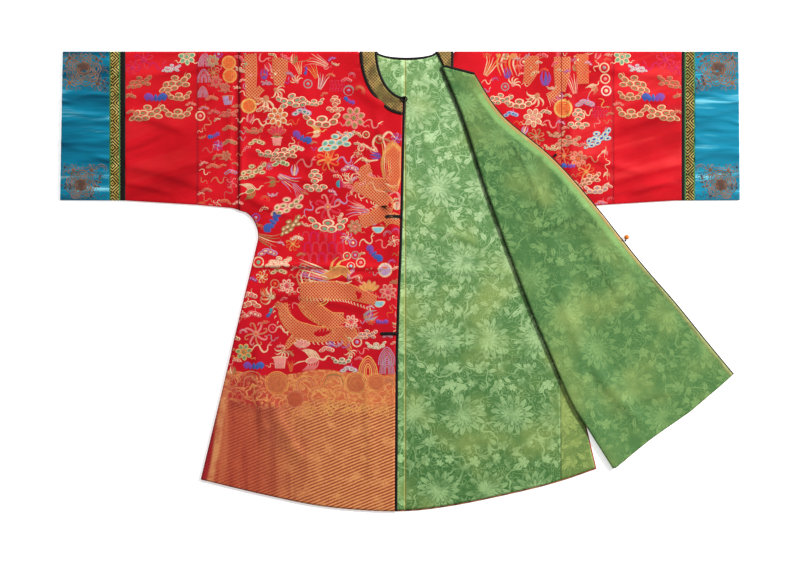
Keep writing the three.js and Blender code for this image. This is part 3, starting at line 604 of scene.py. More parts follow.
def red_brocade():
    """Red silk with a sheen, darker low down, with painted shade along the seams and painted sheen and
    shade streaked across the sleeves, ending in a striped wave hem: curls over slanting stripes. The
    hidden back has scattered clouds in place of the front's woven figures."""
    material, tree, place = new_material("red_brocade")
    x, y = flat_place(tree, place)
    cloudy = noise(tree, place, 7, 4)
    slubs = noise(tree, place, 60, 3, (1, 14, 1))
    red = mixed(tree, (cloudy * 0.8 + slubs * 0.2).rise(0.36, 0.64), srgb(190, 4, 20), srgb(218, 16, 32))
    red = mixed(tree, y.rise(60, -180) * 0.45, red, srgb(186, 10, 34))
    out = x.abs()
    # Painted sheen on the sleeves: pale streaks along a slant, stronger towards +x, with painted shade in
    # darker streaks between them.
    spun = node(tree, "Mapping", {"Vector": place, "Rotation": (0, 0, -0.3)}).outputs[0]
    drawn = noise(tree, spun, 8, 3, (0.4, 2.4, 1))
    on_sleeves = out.rise(380, 430)
    sheen = drawn.rise(0.48, 0.66) * on_sleeves * (x.rise(-300, 300) * 0.3 + 0.14)
    red = mixed(tree, sheen, red, srgb(240, 60, 60))
    red = mixed(tree, drawn.rise(0.48, 0.32) * on_sleeves * 0.7, red, srgb(170, 2, 18))
    # Painted shade along the armhole seams and the sleeves' joins, on their upper part.
    seams = out.near(ARMHOLE_X, 1, 8)
    for sleeve in SLEEVES.values():
        seams = seams.most((x * sleeve["sign"]).near(sleeve["join"], 0.5, 5) * 0.7)
    painted_seam_shade = seams * y.rise(120, 175)
    red = mixed(tree, painted_seam_shade * 0.5, red, srgb(96, 4, 18))

    wander = noise(tree, place, 14, 2) * 12
    slant = (y - x * STRIPE_SLOPE + wander * 0.35) / STRIPE_PITCH
    stripe = (slant.part() - 0.5).abs().rise(0.16, 0.32)
    uneven = noise(tree, place, 34, 4)
    grain = noise(tree, place, 240, 2)
    rightward = (x + noise(tree, place, 5, 3) * 160).rise(-300, -60)
    light = mixed(tree, rightward, srgb(202, 94, 60), srgb(238, 162, 98))
    dark = mixed(tree, rightward, srgb(136, 36, 36), srgb(160, 66, 38))
    striped = mixed(tree, stripe * uneven.rise(0.2, 0.5) * (rightward * 0.35 + 0.6), light, dark)
    streaks = noise(tree, place, 34, 3, (1.5, 0.1, 1))
    striped = mixed(tree, streaks.rise(0.52, 0.7) * x.rise(-120, -300) * 0.4, striped, srgb(226, 132, 84))
    striped = mixed(tree, streaks.rise(0.48, 0.34) * x.rise(-100, -300) * 0.35, striped, srgb(140, 36, 36))
    striped = mixed(tree, grain.rise(0.4, 0.7) * 0.3, striped, srgb(126, 40, 30))
    gloom = noise(tree, place, 9, 3).rise(0.5, 0.7) * x.rise(-150, -420)
    striped = mixed(tree, gloom * 0.5, striped, srgb(112, 34, 44))
    curl_lines = (noise(tree, place, 46, 1.0) * 5).part().near(0.5, 0.12, 0.16)
    curls_ground = mixed(tree, rightward, srgb(178, 44, 42), srgb(206, 104, 62))
    curls = mixed(tree, curl_lines * uneven.rise(0.3, 0.6) * 0.75, curls_ground, srgb(238, 164, 96))
    depth = y * -1 + HEM_PATTERN_Y + (x / 38).sin() * 6 + wander
    slope = (SIDE_HEM_X - float(side_half_width(HEM_PATTERN_Y))) / (SIDE_HEM_Y - HEM_PATTERN_Y)
    inward = (y - SIDE_HEM_Y) * slope + SIDE_HEM_X - out
    low = mixed(tree, (depth + uneven * 20).rise(BILLOW_DEPTH - 6, BILLOW_DEPTH + 14), curls, striped)
    rolled = y.rise(-250, -440)
    gold_edge = (inward - rolled * 14).near(8, 3, 9) * uneven.rise(0.25, 0.6)
    low = mixed(tree, gold_edge * 0.7, low, srgb(232, 160, 102))
    red_edge = (inward - rolled * 16).rise(2, -6) * rolled.rise(0.2, 0.6)
    low = mixed(tree, red_edge * 0.9, low, srgb(158, 14, 34))
    hem = depth.rise(6, 9) * out.rise(470, 462)
    colour = mixed(tree, hem, red, low)

    facing = node(tree, "NewGeometry").outputs["Normal"]
    down = Field(tree, node(tree, "SeparateXYZ", {0: facing}).outputs[2]).rise(-0.3, -0.7)
    cells = node(tree, "TexVoronoi", {"Vector": warped(tree, place, 26, 0.02), "Scale": 17.0})
    reach = Field(tree, cells.outputs["Distance"])
    clouds = mixed(tree, reach.rise(0.2, 0.17), srgb(244, 214, 176), srgb(150, 150, 96))
    covered = reach.rise(0.28, 0.25) * down * hem.rest()
    colour = mixed(tree, covered * 0.85, colour, clouds)

    threads = weave(x, y, 1.0, 1.5)
    relief = threads * 0.3 + slubs * 0.5 + stripe * hem * -0.8
    rough = Field(tree, 0.42) + hem * 0.12
    finish_material(tree, colour, relief, 0.00018, roughness=rough, sheen_weight=0.02)
    return material


# Pitch of the gold mesh of the dragons' scales
SCALE_PITCH = 7.2


def worked_silk():
    """Woven and worked figures: each point's own colour, with the fine gold mesh of a dragon's scales
    where the colour's fourth value asks for it."""
    material, tree, place = new_material("worked_silk")
    x, y = flat_place(tree, place)
    paint = node(tree, "VertexColor", layer_name="silk")
    mask = Field(tree, paint.outputs["Alpha"])
    turns = 2 * PI / SCALE_PITCH
    first = ((x + y) * turns).sin()
    second = ((x - y) * turns).sin()
    mesh = first.most(second).rise(0.58, 0.9)
    spots = noise(tree, place, 160, 3)
    shade = mixed(tree, spots.rise(0.35, 0.75) * 0.28, paint.outputs["Color"], srgb(120, 50, 40))
    deep = mixed(tree, mask * 0.9, shade, srgb(190, 52, 38))
    gold = mixed(tree, noise(tree, place, 14, 2).rise(0.35, 0.65), srgb(222, 136, 84), srgb(236, 164, 108))
    colour = mixed(tree, mesh * mask, deep, gold)
    stitches = (y * (2 * PI / 1.2) + spots * 5).sin() * 0.5 + 0.5
    relief = stitches * 0.35 + mesh * mask * 0.8 + spots * 0.3
    finish_material(tree, colour, relief, 0.00022, roughness=0.45, sheen_weight=0.03)
    return material


def turquoise_satin():
    """Turquoise satin: shades drawn out across the cuff, with painted highlights as pale streaks along its
    puckers.
    """
    material, tree, place = new_material("turquoise_satin")
    x, y = flat_place(tree, place)
    drawn = noise(tree, place, 20, 4, (0.2, 1.5, 1))
    fine = noise(tree, place, 130, 2, (0.08, 1.6, 1))
    colour = mixed(tree, drawn.rise(0.3, 0.62), srgb(0, 76, 104), srgb(8, 128, 160))
    # Painted highlights: pale streaks drawn out across the cuff.
    colour = mixed(tree, drawn.rise(0.56, 0.68) * fine.rise(0.35, 0.6), colour, srgb(140, 222, 238))
    colour = mixed(tree, x.rise(-300, 300) * 0.3, colour, srgb(40, 160, 190))
    edge = (y - 528).rise(-14, 0)
    colour = mixed(tree, edge * 0.5, colour, srgb(0, 52, 74))
    finish_material(tree, colour, drawn + fine * 0.5, 0.0009, roughness=0.32, sheen_weight=0.03)
    return material


# Height of a diamond of the fret ribbon, and the pitch of the lines in it
DIAMOND = 41
FRET_PITCH = 7.2


def fret_ribbon():
    """Ribbon of gold frets in diamonds one inside another on black, between thin green edges."""
    material, tree, place = new_material("fret_ribbon")
    x, y = flat_place(tree, place)
    middle = sum(sleeve["ribbon"] + sleeve["cuff"] for sleeve in SLEEVES.values()) / 4
    reach = (x.abs() - middle).abs() + ((y / DIAMOND).part() - 0.5).abs() * DIAMOND
    gold = (reach / FRET_PITCH).part().near(0.5, 0.2, 0.05) * ((x - y) / FRET_PITCH).part().rise(0.06, 0.14)
    spots = noise(tree, place, 90, 2)
    tint = mixed(tree, spots.rise(0.3, 0.7), srgb(176, 140, 52), srgb(232, 206, 118))
    tint = mixed(tree, noise(tree, place, 26, 2).rise(0.52, 0.66) * 0.6, tint, srgb(104, 140, 56))
    tint = mixed(tree, x.rise(-200, 400) * 0.35, tint, srgb(128, 96, 40))
    colour = mixed(tree, gold, srgb(14, 14, 6), tint)
    edges = Field(tree, 0.0)
    for sleeve in SLEEVES.values():
        for edge_x in (sleeve["ribbon"] + 1.6, sleeve["cuff"] - 1.8):
            edges = edges.most((x * sleeve["sign"]).near(edge_x, 1.0, 0.5))
    colour = mixed(tree, edges, colour, srgb(56, 128, 66))
    relief = gold + weave(x, y, 0.8, 0.8) * 0.3
    finish_material(tree, colour, relief, 0.0002, roughness=0.5, sheen_weight=0.03)
    return material


def collar_brocade():
    """Collar band of small gold and olive diamonds and frets on dark brown."""
    material, tree, place = new_material("collar_brocade")
    x, y = flat_place(tree, warped(tree, place, 12, 0.002))
    rising, falling = (x + y) / FRET_PITCH, (x - y) / FRET_PITCH
    first, second = (lines.part().near(0.5, 0.09, 0.09) for lines in (rising, falling))
    middles = (rising + 0.5).part().near(0.5, 0.14, 0.06) * (falling + 0.5).part().near(0.5, 0.14, 0.06)
    shades = noise(tree, place, 34, 3)
    gold = mixed(tree, shades.rise(0.35, 0.65), srgb(116, 104, 54), srgb(206, 168, 96))
    ground = mixed(tree, noise(tree, place, 90, 2).rise(0.4, 0.6), srgb(30, 24, 18), srgb(70, 84, 36))
    colour = mixed(tree, first.most(second), ground, gold)
    colour = mixed(tree, middles * 0.7, colour, srgb(176, 112, 74))
    finish_material(tree, colour, first + second + middles, 0.00025, roughness=0.5, sheen_weight=0.03)
    return material


RED = red_brocade()
WORKED = worked_silk()
BACK_GREEN = damask(
    "back_lining_damask", (srgb(70, 116, 58), srgb(104, 148, 86)),
    (srgb(156, 192, 128), srgb(188, 218, 162)), marked=True,
)
FLAP_GREEN = damask(
    "turned_lining_damask", (srgb(84, 128, 70), srgb(66, 110, 58)),
    (srgb(146, 180, 108), srgb(142, 182, 112)), turn=0.8, strength=0.62, marked=True,
)
GORE_GREEN = damask("gore_damask", [srgb(106, 136, 70)] * 2, [srgb(166, 186, 104)] * 2, strength=0.9)
TURQUOISE = turquoise_satin()
FRET = fret_ribbon()
COLLAR = collar_brocade()
BLACK = silk("black_silk", srgb(12, 10, 9), srgb(26, 22, 19), sheen=0.05)
GILT = silk("gilt_button", srgb(206, 100, 24), srgb(240, 150, 60), roughness=0.35, bump=0.00004)


def shoulder_row(sign, side_x, corner_x, y, z, thickness, columns):
    """Shoulder points of one half from the side to the neck corner."""
    x = lerp(sign * side_x, NECK_X + sign * corner_x, np.linspace(0, 1, columns))
    return grid_of(x, y, z, thickness)


def neck_row(sign, offset, depth, first_angle, inner_x, z, thickness, columns):
    """Points round a neck curve of one half from the shoulder to x = inner_x."""
    shares = np.arange(1, columns + 1) / columns
    angle = lerp(first_angle, neck_angle_at(offset, inner_x, sign), shares)
    return grid_of(*neck_xy(offset, angle, depth, sign), z, thickness)


def panel(sign, top_row, side_x, inner_x, height, thickness, hem_inset=0):
    """Rows from a panel's top row down to the hem: rows across at the side seam's levels, and even
    steps from the top row to the first of them and from the last of them to the hem."""
    across = np.linspace(0, 1, len(top_row))
    y = SIDE_LEVELS[:, None] + 0 * across
    side = np.stack([lerp(sign * side_x(y), inner_x(y), across), y], -1)
    corner_y = (HEM[0] if sign < 0 else HEM[-1])[1]
    hem_x = lerp(sign * side_x(corner_y), inner_x(FRONT_HEM_Y), across)
    hem = np.stack([hem_x, hem_y(hem_x) + hem_inset], -1)
    yoke = lerp(top_row[None, :, :2], side[:1], YOKE_SHARES[:, None, None])
    skirt = lerp(side[-1:], hem[None], SKIRT_SHARES[:, None, None])
    x, y = np.moveaxis(np.concatenate([yoke, side, skirt]), -1, 0)
    made = grid_of(x, y, height(x, y), thickness)
    made[0] = top_row
    return made


def flat_at(level):
    """A height that is the same everywhere."""
    return lambda x, y: level + 0 * x


def seam_beside(sign, seam_x):
    """The edge of a half beside its centre seam."""
    return lambda y: seam_x + sign * SEAM_GAP / 6 + 0 * y


def back_panel(sign, shoulder, neck_columns):
    """One half of the back, flat on the table."""
    inner_x = seam_beside(sign, BACK_SEAM_X)
    neck = neck_row(sign, BACK_NECK_OFFSET, NECK_BACK_DEPTH, 0, inner_x(0), BACK_Z, BACK_CLOTH, neck_columns)
    top = np.concatenate([shoulder, neck])
    return panel(sign, top, side_half_width, inner_x, flat_at(BACK_Z), BACK_CLOTH)


def shoulder_roll(sign, front_z, front_cloth, columns):
    """Half a turn over the shoulder, from the back's level up to the front's."""
    radius = (front_z - BACK_Z) / 2
    centre_y = SHOULDER_Y - radius - (BACK_CLOTH + front_cloth) / 4
    share = np.linspace(0, 1, ROLL_STEPS + 1)[:, None]
    corner = NECK_HALF_WIDTH + BACK_NECK_OFFSET + SEAM_GAP
    x = lerp(sign * ARMHOLE_X, NECK_X + sign * corner, np.linspace(0, 1, columns))[None]
    y = centre_y + radius * np.sin(PI * share)
    z = BACK_Z + radius * (1 - np.cos(PI * share))
    return grid_of(x, y, z, lerp(BACK_CLOTH, front_cloth, share))


def side_seam(back, front):
    """The strip that joins the back's edge to the front's from the underarm to the top of the slit."""
    rows = slice(YOKE_STEPS, YOKE_STEPS + SIDE_STEPS + 1)
    return np.stack([front[rows, 0], back[rows, 0]], 1)


def soft_folds(x, y, folds):
    """Soft ridges and troughs, each a bank along a line that fades out at both ends, steeper on its
    right side. A fold is the line's two ends, how far its middle bows, its width and its height."""
    height = 0 * x
    for start_x, start_y, end_x, end_y, bow, width, rise in folds:
        run = np.array([end_x - start_x, end_y - start_y], float)
        length = np.hypot(*run)
        run /= length
        along = ((x - start_x) * run[0] + (y - start_y) * run[1]) / length
        off = (y - start_y) * run[0] - (x - start_x) * run[1]
        off = off - bow * (1 - (2 * along - 1) ** 2)
        fade = smoothstep(along, -0.08, 0.22) * smoothstep(1 - along, -0.08, 0.22)
        steep = np.where(off < 0, 0.5 * width, width)
        height = height + rise * fade * np.exp(-((off / steep) ** 2))
    return height


# Folds of the right front and of the lining: start x and y, end x and y, bow, width and height
FRONT_FOLDS = [
    (-372, 34, -4, 27, 4, 8, 2.2),
    (-300, 12, -20, 9, -3, 7, 0.9),
    (-372, 300, -130, 262, 8, 18, 1.5),
    (-60, 400, -18, 60, 10, 14, 1.2),
    (-180, 120, -60, -130, 12, 22, 1.2),
    (-330, -120, -300, -400, -10, 20, 1.4),
    (-90, -180, -70, -470, 8, 18, 1.2),
    (-215, -416, -298, -262, 8, 20, 2.0),
    (-230, 470, -200, 200, 8, 22, 1.1),
    (-30, 400, -120, 470, 6, 16, 1.6),
    (-366, 205, -250, 150, -6, 12, 1.6),
    (-372, 240, -180, 226, 5, 9, 1.2),
    (-330, -30, -90, -64, 8, 12, 1.2),
    (-20, -90, -200, -120, -6, 12, 1.1),
    (-367, 480, -368, 180, 2, 8, 1.4),
]
FOLD_STRENGTH = 1.7


def settle(x, y, size, depth):
    """Slow uneven rise and fall of cloth at rest: three crossing waves of unlike length."""
    first = np.sin(x / size + 1.3) * np.cos(y / (1.4 * size) - 0.4)
    second = np.sin((x + 0.8 * y) / (0.6 * size) + 2.1)
    third = np.cos((0.5 * x - y) / (0.85 * size) + 0.7)
    return depth * (first + 0.4 * second + 0.5 * third) / 1.9


def front_height(x, y):
    """Middle of the right front's cloth: its level with the folds, fading out at the shoulder."""
    still = smoothstep(SHOULDER_Y - y, 0, 30)
    loose = settle(x, y, 46, 0.45) + settle(1.3 * y, x, 19, 0.16)
    return FRONT_Z + still * (FOLD_STRENGTH * soft_folds(x, y, FRONT_FOLDS) + np.maximum(loose, -0.25))


def right_body():
    """Right half of the body: back, shoulder and front in one cloth."""
    columns, neck_columns = 33, 56
    roll = shoulder_roll(-1, FRONT_Z, FRONT_CLOTH, columns)
    back = back_panel(-1, roll[0], 10)
    neck = neck_row(
        -1, FRONT_NECK_OFFSET, NECK_FRONT_DEPTH, 0, FRONT_EDGE_TOP_X, FRONT_Z, FRONT_CLOTH, neck_columns
    )
    neck[0, :2] = NECK_X - NECK_HALF_WIDTH - FRONT_NECK_OFFSET, SHOULDER_Y - FRONT_NECK_DROP
    top = np.concatenate([roll[-1], neck])
    front = panel(-1, top, side_half_width, front_edge_x, front_height, FRONT_CLOTH)
    return wall([back, roll[::-1], front[::-1], side_seam(back, front)])


def left_outline():
    """Outline of the left half with its sleeve, on which the turned front lies."""
    side = [(float(side_half_width(y)), y) for y in np.linspace(UNDERARM_Y - 5, SLIT_TOP_Y, 12)]
    top = [(0, SHOULDER_Y), (SLEEVE_BOTTOM[-1][0], SHOULDER_Y)]
    return np.array([*top, *SLEEVE_BOTTOM[::-1], *side, *HEM[:2:-1]], float)


def distance_outside(x, y, outline):
    """Distance from each point to a closed outline, positive outside it and negative inside."""
    start, end = outline, np.roll(outline, -1, axis=0)
    nearest = np.full(x.shape, 1e9)
    inside = np.zeros(x.shape, bool)
    for (ax, ay), (bx, by) in zip(start, end):
        dx, dy = bx - ax, by - ay
        share = np.clip(((x - ax) * dx + (y - ay) * dy) / (dx * dx + dy * dy), 0, 1)
        nearest = np.minimum(nearest, np.hypot(x - ax - share * dx, y - ay - share * dy))
        if ay != by:
            inside ^= ((ay > y) != (by > y)) & (x < ax + dx * (y - ay) / dy)
    return np.where(inside, -nearest, nearest)


def cover(x, y, outline):
    """1 over an outline and just past it, falling smoothly to 0."""
    return 1 - smoothstep(distance_outside(x, y, outline), DROP_START, DROP_END)


# Folds of the turned front, in the same terms as the right front's
FLAP_FOLDS = [
    (330, 118, 430, 176, -4, 6, 2.4),
    (585, 10, 440, -60, 8, 12, 1.4),
    (250, 330, 330, 150, 10, 14, 1.4),
    (420, 140, 520, -60, -8, 16, 1.4),
    (640, -90, 500, -250, 6, 16, 1.6),
    (420, -170, 560, -330, -6, 16, 1.4),
    (330, 20, 420, -190, 8, 13, 1.3),
    (230, 300, 300, 330, 4, 9, 1.2),
    (480, -300, 640, -250, 6, 14, 1.2),
]
TURNED_STEPS = 62
SHOULDER_COLUMNS = 17


def left_front():
    """Grids of the left front: the flat part below, the roll of the fold, and the turned part above.
    Rows match by their share of the side edge's length."""
    outline = left_outline()
    yoke_y = lerp(HIDDEN_TOP_Y, UNDERARM_Y, YOKE_SHARES)
    slit = np.array([side_half_width(SLIT_TOP_Y), SLIT_TOP_Y])
    side = np.concatenate([
        np.stack([np.full(YOKE_STEPS, ARMHOLE_X), yoke_y], -1),
        np.stack([side_half_width(SIDE_LEVELS), SIDE_LEVELS], -1),
        lerp(slit, np.array(HIDDEN_HEM_CORNER, float), SKIRT_SHARES[:, None]),
    ])
    lengths = np.concatenate([[0], np.cumsum(np.linalg.norm(np.diff(side, axis=0), axis=1))])
    share = lengths / lengths[-1]
    reach, tangent = along_curve(curve_through(FOLD_LINE), share)
    inward = np.stack([-tangent[:, 1], tangent[:, 0]], -1)
    centre = reach + inward * FOLD_REACH
    edge, unused = along_curve(curve_through(TURNED_EDGE), share)

    def under(x, y, rise):
        return (OPEN_FRONT_Z - UNDER_FLAT) * cover(x, y, outline) + rise

    tail = centre + inward * TAIL_LENGTH
    between = lerp(side[:, None], tail[:, None], np.linspace(0, 1, SHOULDER_COLUMNS - 1)[:, None])
    x, y = np.moveaxis(np.concatenate([between, centre[:, None]], 1), -1, 0)
    rise = np.where(np.arange(SHOULDER_COLUMNS) >= SHOULDER_COLUMNS - 2, UNDER_TAIL, UNDER_FLAT)
    flat = grid_of(x, y, under(x, y, rise), OPEN_FRONT_CLOTH)

    turn = PI * np.linspace(0, 1, ROLL_STEPS + 1)
    xy = centre[:, None] - inward[:, None] * (FOLD_RADIUS * np.sin(turn))[:, None]
    z = flat[:, -1:, 2] + FOLD_RADIUS * (1 - np.cos(turn))
    roll = grid_of(xy[..., 0], xy[..., 1], z, OPEN_FRONT_CLOTH)

    along = np.linspace(0, 1, TURNED_STEPS + 1)
    hem_run = edge[-1] - centre[-1]
    hem_out = np.array([hem_run[1], -hem_run[0]]) / np.hypot(*hem_run)
    bow = read(TURNED_HEM_BOW, along)[None] * smoothstep(share, BOW_START, 1)[:, None]
    xy = lerp(centre[:, None], edge[:, None], along[:, None]) + hem_out * bow[..., None]
    x, y = xy[..., 0], xy[..., 1]
    slit_row = YOKE_STEPS + SIDE_STEPS
    hidden = np.array([side[slit_row], HIDDEN_HEM_CORNER, centre[-1], centre[slit_row]])
    level = lerp(TURNED_NECK_Z, TURNED_Z, smoothstep(share, *NECK_RISE_END))[:, None]
    over_body = lerp(BACK_Z, level, cover(x, y, outline))
    rest = np.maximum(TURNED_ON_HEM_Z * cover(x, y, hidden), over_body)
    from_fold = np.linalg.norm(xy - centre[:, None], axis=-1)
    risen = smoothstep(from_fold, 0, FOLD_SETTLE)
    loose = smoothstep(from_fold, 20, 90) * smoothstep(1 - along, 0, 0.08)
    z = lerp(roll[:, -1:, 2], rest, risen)
    z = z + loose * np.maximum(FOLD_STRENGTH * soft_folds(x, y, FLAP_FOLDS) + settle(x, y, 40, 0.4) + 0.3, 0)
    turned = grid_of(x, y, z, OPEN_FRONT_CLOTH)
    return flat, roll, turned


FLAT_PART, FOLD_ROLL, TURNED_PART = left_front()


def left_body():
    """Left half of the body: back and shoulder, and the front folded open, in one cloth."""
    roll = shoulder_roll(1, OPEN_FRONT_Z, OPEN_FRONT_CLOTH, SHOULDER_COLUMNS)
    back = back_panel(1, roll[0], 8)
    tuck = np.stack([FLAT_PART[0], roll[-1]])
    front = [FLAT_PART[::-1], FOLD_ROLL[::-1], TURNED_PART[::-1]]
    return wall([back, roll[::-1], tuck, *front, side_seam(back, FLAT_PART)])


def turned_lining_grid():
    """Lining of the left front from its tucked tail over the roll to the turned edge."""
    rows = np.concatenate([FLAT_PART[:, -2:-1], FOLD_ROLL, TURNED_PART[:, 1:]], 1)
    return moved_out(rows[::-1], -LINING_STEP, LINING_CLOTH)


# Creases of the back lining, in the same terms
LINING_FOLDS = [
    (-4, 22, 270, 12, 4, 7, 0.9),
    (40, 128, 190, 78, 6, 9, 0.9),
    (20, 330, 110, 300, -4, 12, 0.6),
    (40, -150, 350, -190, 8, 12, 0.7),
    (60, -330, 300, -380, -8, 16, 0.6),
    (40, 440, 60, 200, 8, 12, 0.5),
]


def lining_height(x, y):
    """Middle of the back lining: its level, with hollows no deeper than the gap below it."""
    return BACK_LINING_Z + 0.12 + FOLD_STRENGTH * soft_folds(x, y, LINING_FOLDS) + settle(x, y, 42, 0.2)


def back_lining(sign, columns, neck_columns):
    """Lining of one half of the back, inside the body's outline and up to the neck piping."""
    top_y = SHOULDER_Y - LINING_TOP_DROP
    first_angle = neck_angle_down(LINING_NECK_OFFSET, NECK_BACK_DEPTH, top_y)
    corner = (NECK_HALF_WIDTH + LINING_NECK_OFFSET) * np.cos(first_angle)
    gore_seam = GORE_X - SEAM_GAP / 6 if sign > 0 else np.inf

    def side_x(y):
        return np.minimum(side_half_width(y) - LINING_INSET, gore_seam)

    inner_x = seam_beside(sign, LINING_SEAM_X)
    shoulder = shoulder_row(sign, side_x(top_y), corner, top_y, BACK_LINING_Z, LINING_CLOTH, columns)
    neck = neck_row(
        sign, LINING_NECK_OFFSET, NECK_BACK_DEPTH, first_angle, inner_x(0), BACK_LINING_Z, LINING_CLOTH,
        neck_columns,
    )
    top = np.concatenate([shoulder, neck])
    return wall([panel(sign, top, side_x, inner_x, lining_height, LINING_CLOTH, LINING_INSET)])


def lining_gore():
    """Gore of the lining at the left hem corner, between its seam and the side."""
    seam_x = GORE_X + SEAM_GAP / 6
    across, down = np.linspace(0, 1, 20)[None], np.linspace(0, 1, 70)[:, None]
    top_x = lerp(seam_x, side_half_width(GORE_TOP_Y) - LINING_INSET, across)
    hem_x = lerp(seam_x, side_half_width(HEM[-1][1]) - LINING_INSET, across)
    x = lerp(top_x, hem_x, down)
    y = lerp(GORE_TOP_Y, hem_y(hem_x) + LINING_INSET, down)
    return wall([grid_of(x, y, lining_height(x, y), LINING_CLOTH)])


ROUND_ACROSS = np.linspace(0, 1, 7)
ROUND_CLOTH = np.sqrt(np.maximum(1 - (2 * ROUND_ACROSS - 1) ** 2, 0.04))


def edge_strip(points, width):
    """A rounded strip beside an edge of the turned front, as thick as its cloth and lining."""
    below, above = OPEN_FRONT_CLOTH / 2, LINING_STEP + LINING_CLOTH / 2
    run = np.gradient(points[:, :2], axis=0)
    run /= np.linalg.norm(run, axis=1, keepdims=True)
    step = SEAM_GAP / 2 + width * ROUND_ACROSS
    x = points[:, :1] - run[:, 1:] * step
    y = points[:, 1:2] + run[:, :1] * step
    z = points[:, 2:3] + (above - below) / 2
    return wall([grid_of(x, y, z, (below + above) * ROUND_CLOTH)])


def right_binding():
    """Binding of the right front's edge, rounded over it and just proud of it."""
    y = np.linspace(FRONT_EDGE_TOP_Y - BINDING_END, FRONT_HEM_Y, 240)[:, None]
    x = front_edge_x(y) + SEAM_GAP / 2 + BINDING_WIDTH * ROUND_ACROSS
    z = front_height(x, y) + BINDING_PROUD / 2
    return wall([grid_of(x, y, z, (FRONT_CLOTH + BINDING_PROUD) * ROUND_CLOTH)])


def neck_band(band, across, profile):
    """One neck band: up the right front, over the shoulder, round the back, over the other shoulder
    and down the left front. across and profile are the shares and thickness from its inner edge."""
    offset = lerp(band["inner"], band["outer"], across)[None]
    width = NECK_HALF_WIDTH + offset
    share = np.clip((offset - COLLAR_INNER) / (COLLAR_OUTER - COLLAR_INNER), -1, 1)
    lean = BAND_LEAN * (1 - share)
    end_y = lerp(BAND_END_INNER_Y, BAND_END_OUTER_Y, np.clip(share, 0, 1))
    back, cloth = band["back"], band["cloth"]
    right_turn, left_turn = ((band[side] - back) / 2 for side in ("right", "left"))
    right_y, left_y = (SHOULDER_Y - turn - cloth / 2 for turn in (right_turn, left_turn))
    front_start = np.arccos((NECK_X - band["end_x"]) / width)
    front_end = neck_angle_down(offset, NECK_FRONT_DEPTH, right_y)
    back_start = neck_angle_down(offset, NECK_BACK_DEPTH, right_y)
    back_end = PI - neck_angle_down(offset, NECK_BACK_DEPTH, left_y)

    def steps(count):
        return np.linspace(0, 1, count)[:, None]

    def over_shoulder(start_x, end_x, turn, centre_y, way):
        share = steps(11)[1:-1]
        y = centre_y + turn * np.sin(PI * share) + 0 * offset
        z = back + turn * (1 - way * np.cos(PI * share)) + 0 * offset
        return np.stack([lerp(start_x, end_x, share), y, z], -1)

    def stretch(x, y, z):
        return np.stack(np.broadcast_arrays(x, y, z), -1)

    front_angle = lerp(front_start, front_end, steps(60))
    back_angle = lerp(back_start, back_end, steps(60))
    front = stretch(*neck_xy(offset, front_angle, NECK_FRONT_DEPTH, -1), band["right"])
    behind = stretch(*neck_xy(offset, back_angle, NECK_BACK_DEPTH, -1), back)
    left_x = NECK_X + width
    down = steps(16) * band["reach"]
    ending = stretch(left_x + lean * down, lerp(left_y, end_y, down), band["left"])
    up = over_shoulder(front[-1, :, 0], behind[0, :, 0], right_turn, right_y, -1)
    over = over_shoulder(behind[-1, :, 0], ending[0, :, 0], left_turn, left_y, 1)
    points = np.concatenate([front, up, behind, over, ending])
    return wall([grid_of(*np.moveaxis(points, -1, 0), cloth * profile[None])])


# Folds of the sleeves' upper sides, for x counted outward from the centre
SLEEVE_FOLDS = [
    (384, 480, 388, 190, 4, 9, 1.4),
    (420, 500, 640, 470, -6, 16, 1.5),
    (430, 205, 650, 270, 8, 18, 1.6),
    (490, 340, 650, 390, 6, 16, 1.5),
    (400, 300, 560, 250, -6, 14, 1.2),
    (520, 200, 640, 226, 3, 10, 1.2),
    (500, 430, 600, 416, 3, 14, 1.0),
]


def sleeve_ring(sign, start, top, bottom, steps, lift=None, over_steps=84):
    """One length of a flattened sleeve: a flat ring in y and z, carried from start to its other end,
    which slants from top to bottom. lift raises the upper side."""
    radius = (FRONT_TOP_Z - SLEEVE_CLOTH) / 2
    margin = radius + SLEEVE_CLOTH / 2
    middle = FRONT_TOP_Z / 2
    share = (1 - np.cos(PI * np.linspace(0, 1, steps + 1)))[:, None] / 2
    top_x, bottom_x = lerp(start, top, share), lerp(start, bottom, share)
    from_seam = np.minimum(share, 1 - share) * (bottom - start)
    cloth = SLEEVE_CLOTH * (1 - 0.45 * smoothstep(from_seam, 2.2, 0.2))
    low = read(SLEEVE_BOTTOM, bottom_x) + margin
    high = SHOULDER_Y - margin
    under, over = np.linspace(0, 1, 26), np.linspace(1, 0, over_steps)
    turn = PI * np.linspace(-0.5, 0.5, 7)[1:-1]
    y = np.concatenate([
        lerp(low, high, under), high + radius * np.cos(turn) + 0 * low,
        lerp(low, high, over), low - radius * np.cos(turn), low,
    ], 1)
    level = np.concatenate([
        np.full(under.size, -1.0), np.sin(turn), np.full(over.size, 1.0), -np.sin(turn), [-1.0],
    ])
    x = lerp(bottom_x, top_x, np.clip((y - low) / (high - low), 0, 1))
    z = middle + radius * level + 0 * x
    if lift is not None:
        still = smoothstep(y - low, 0, 20) * smoothstep(high - y, 0, 20) * (level > 0.99)
        z = z + still * lift(x, y)
    return wall([grid_of(sign * x, y, z, cloth)])


def sleeve_lift(x, y):
    """Folds and slow unevenness of a sleeve's upper side."""
    waves = settle(x, y, 44, 0.6) + settle(y, 1.4 * x, 17, 0.2)
    return FOLD_STRENGTH * soft_folds(x, y, SLEEVE_FOLDS) + waves


# Puckers across a cuff: their heights up it, and each one's width and rise
CUFF_PUCKERS = [
    (487, 5, 0.5), (468, 7, 0.6), (426, 6, 1.0), (412, 5, 0.9), (386, 7, 1.2), (371, 5, 0.7), (346, 6, 0.9),
    (321, 8, 1.1), (304, 5, 0.6), (286, 7, 1.1), (262, 6, 0.8), (238, 7, 0.6), (214, 6, 0.5),
]
PUCKER_RISE = 2.4


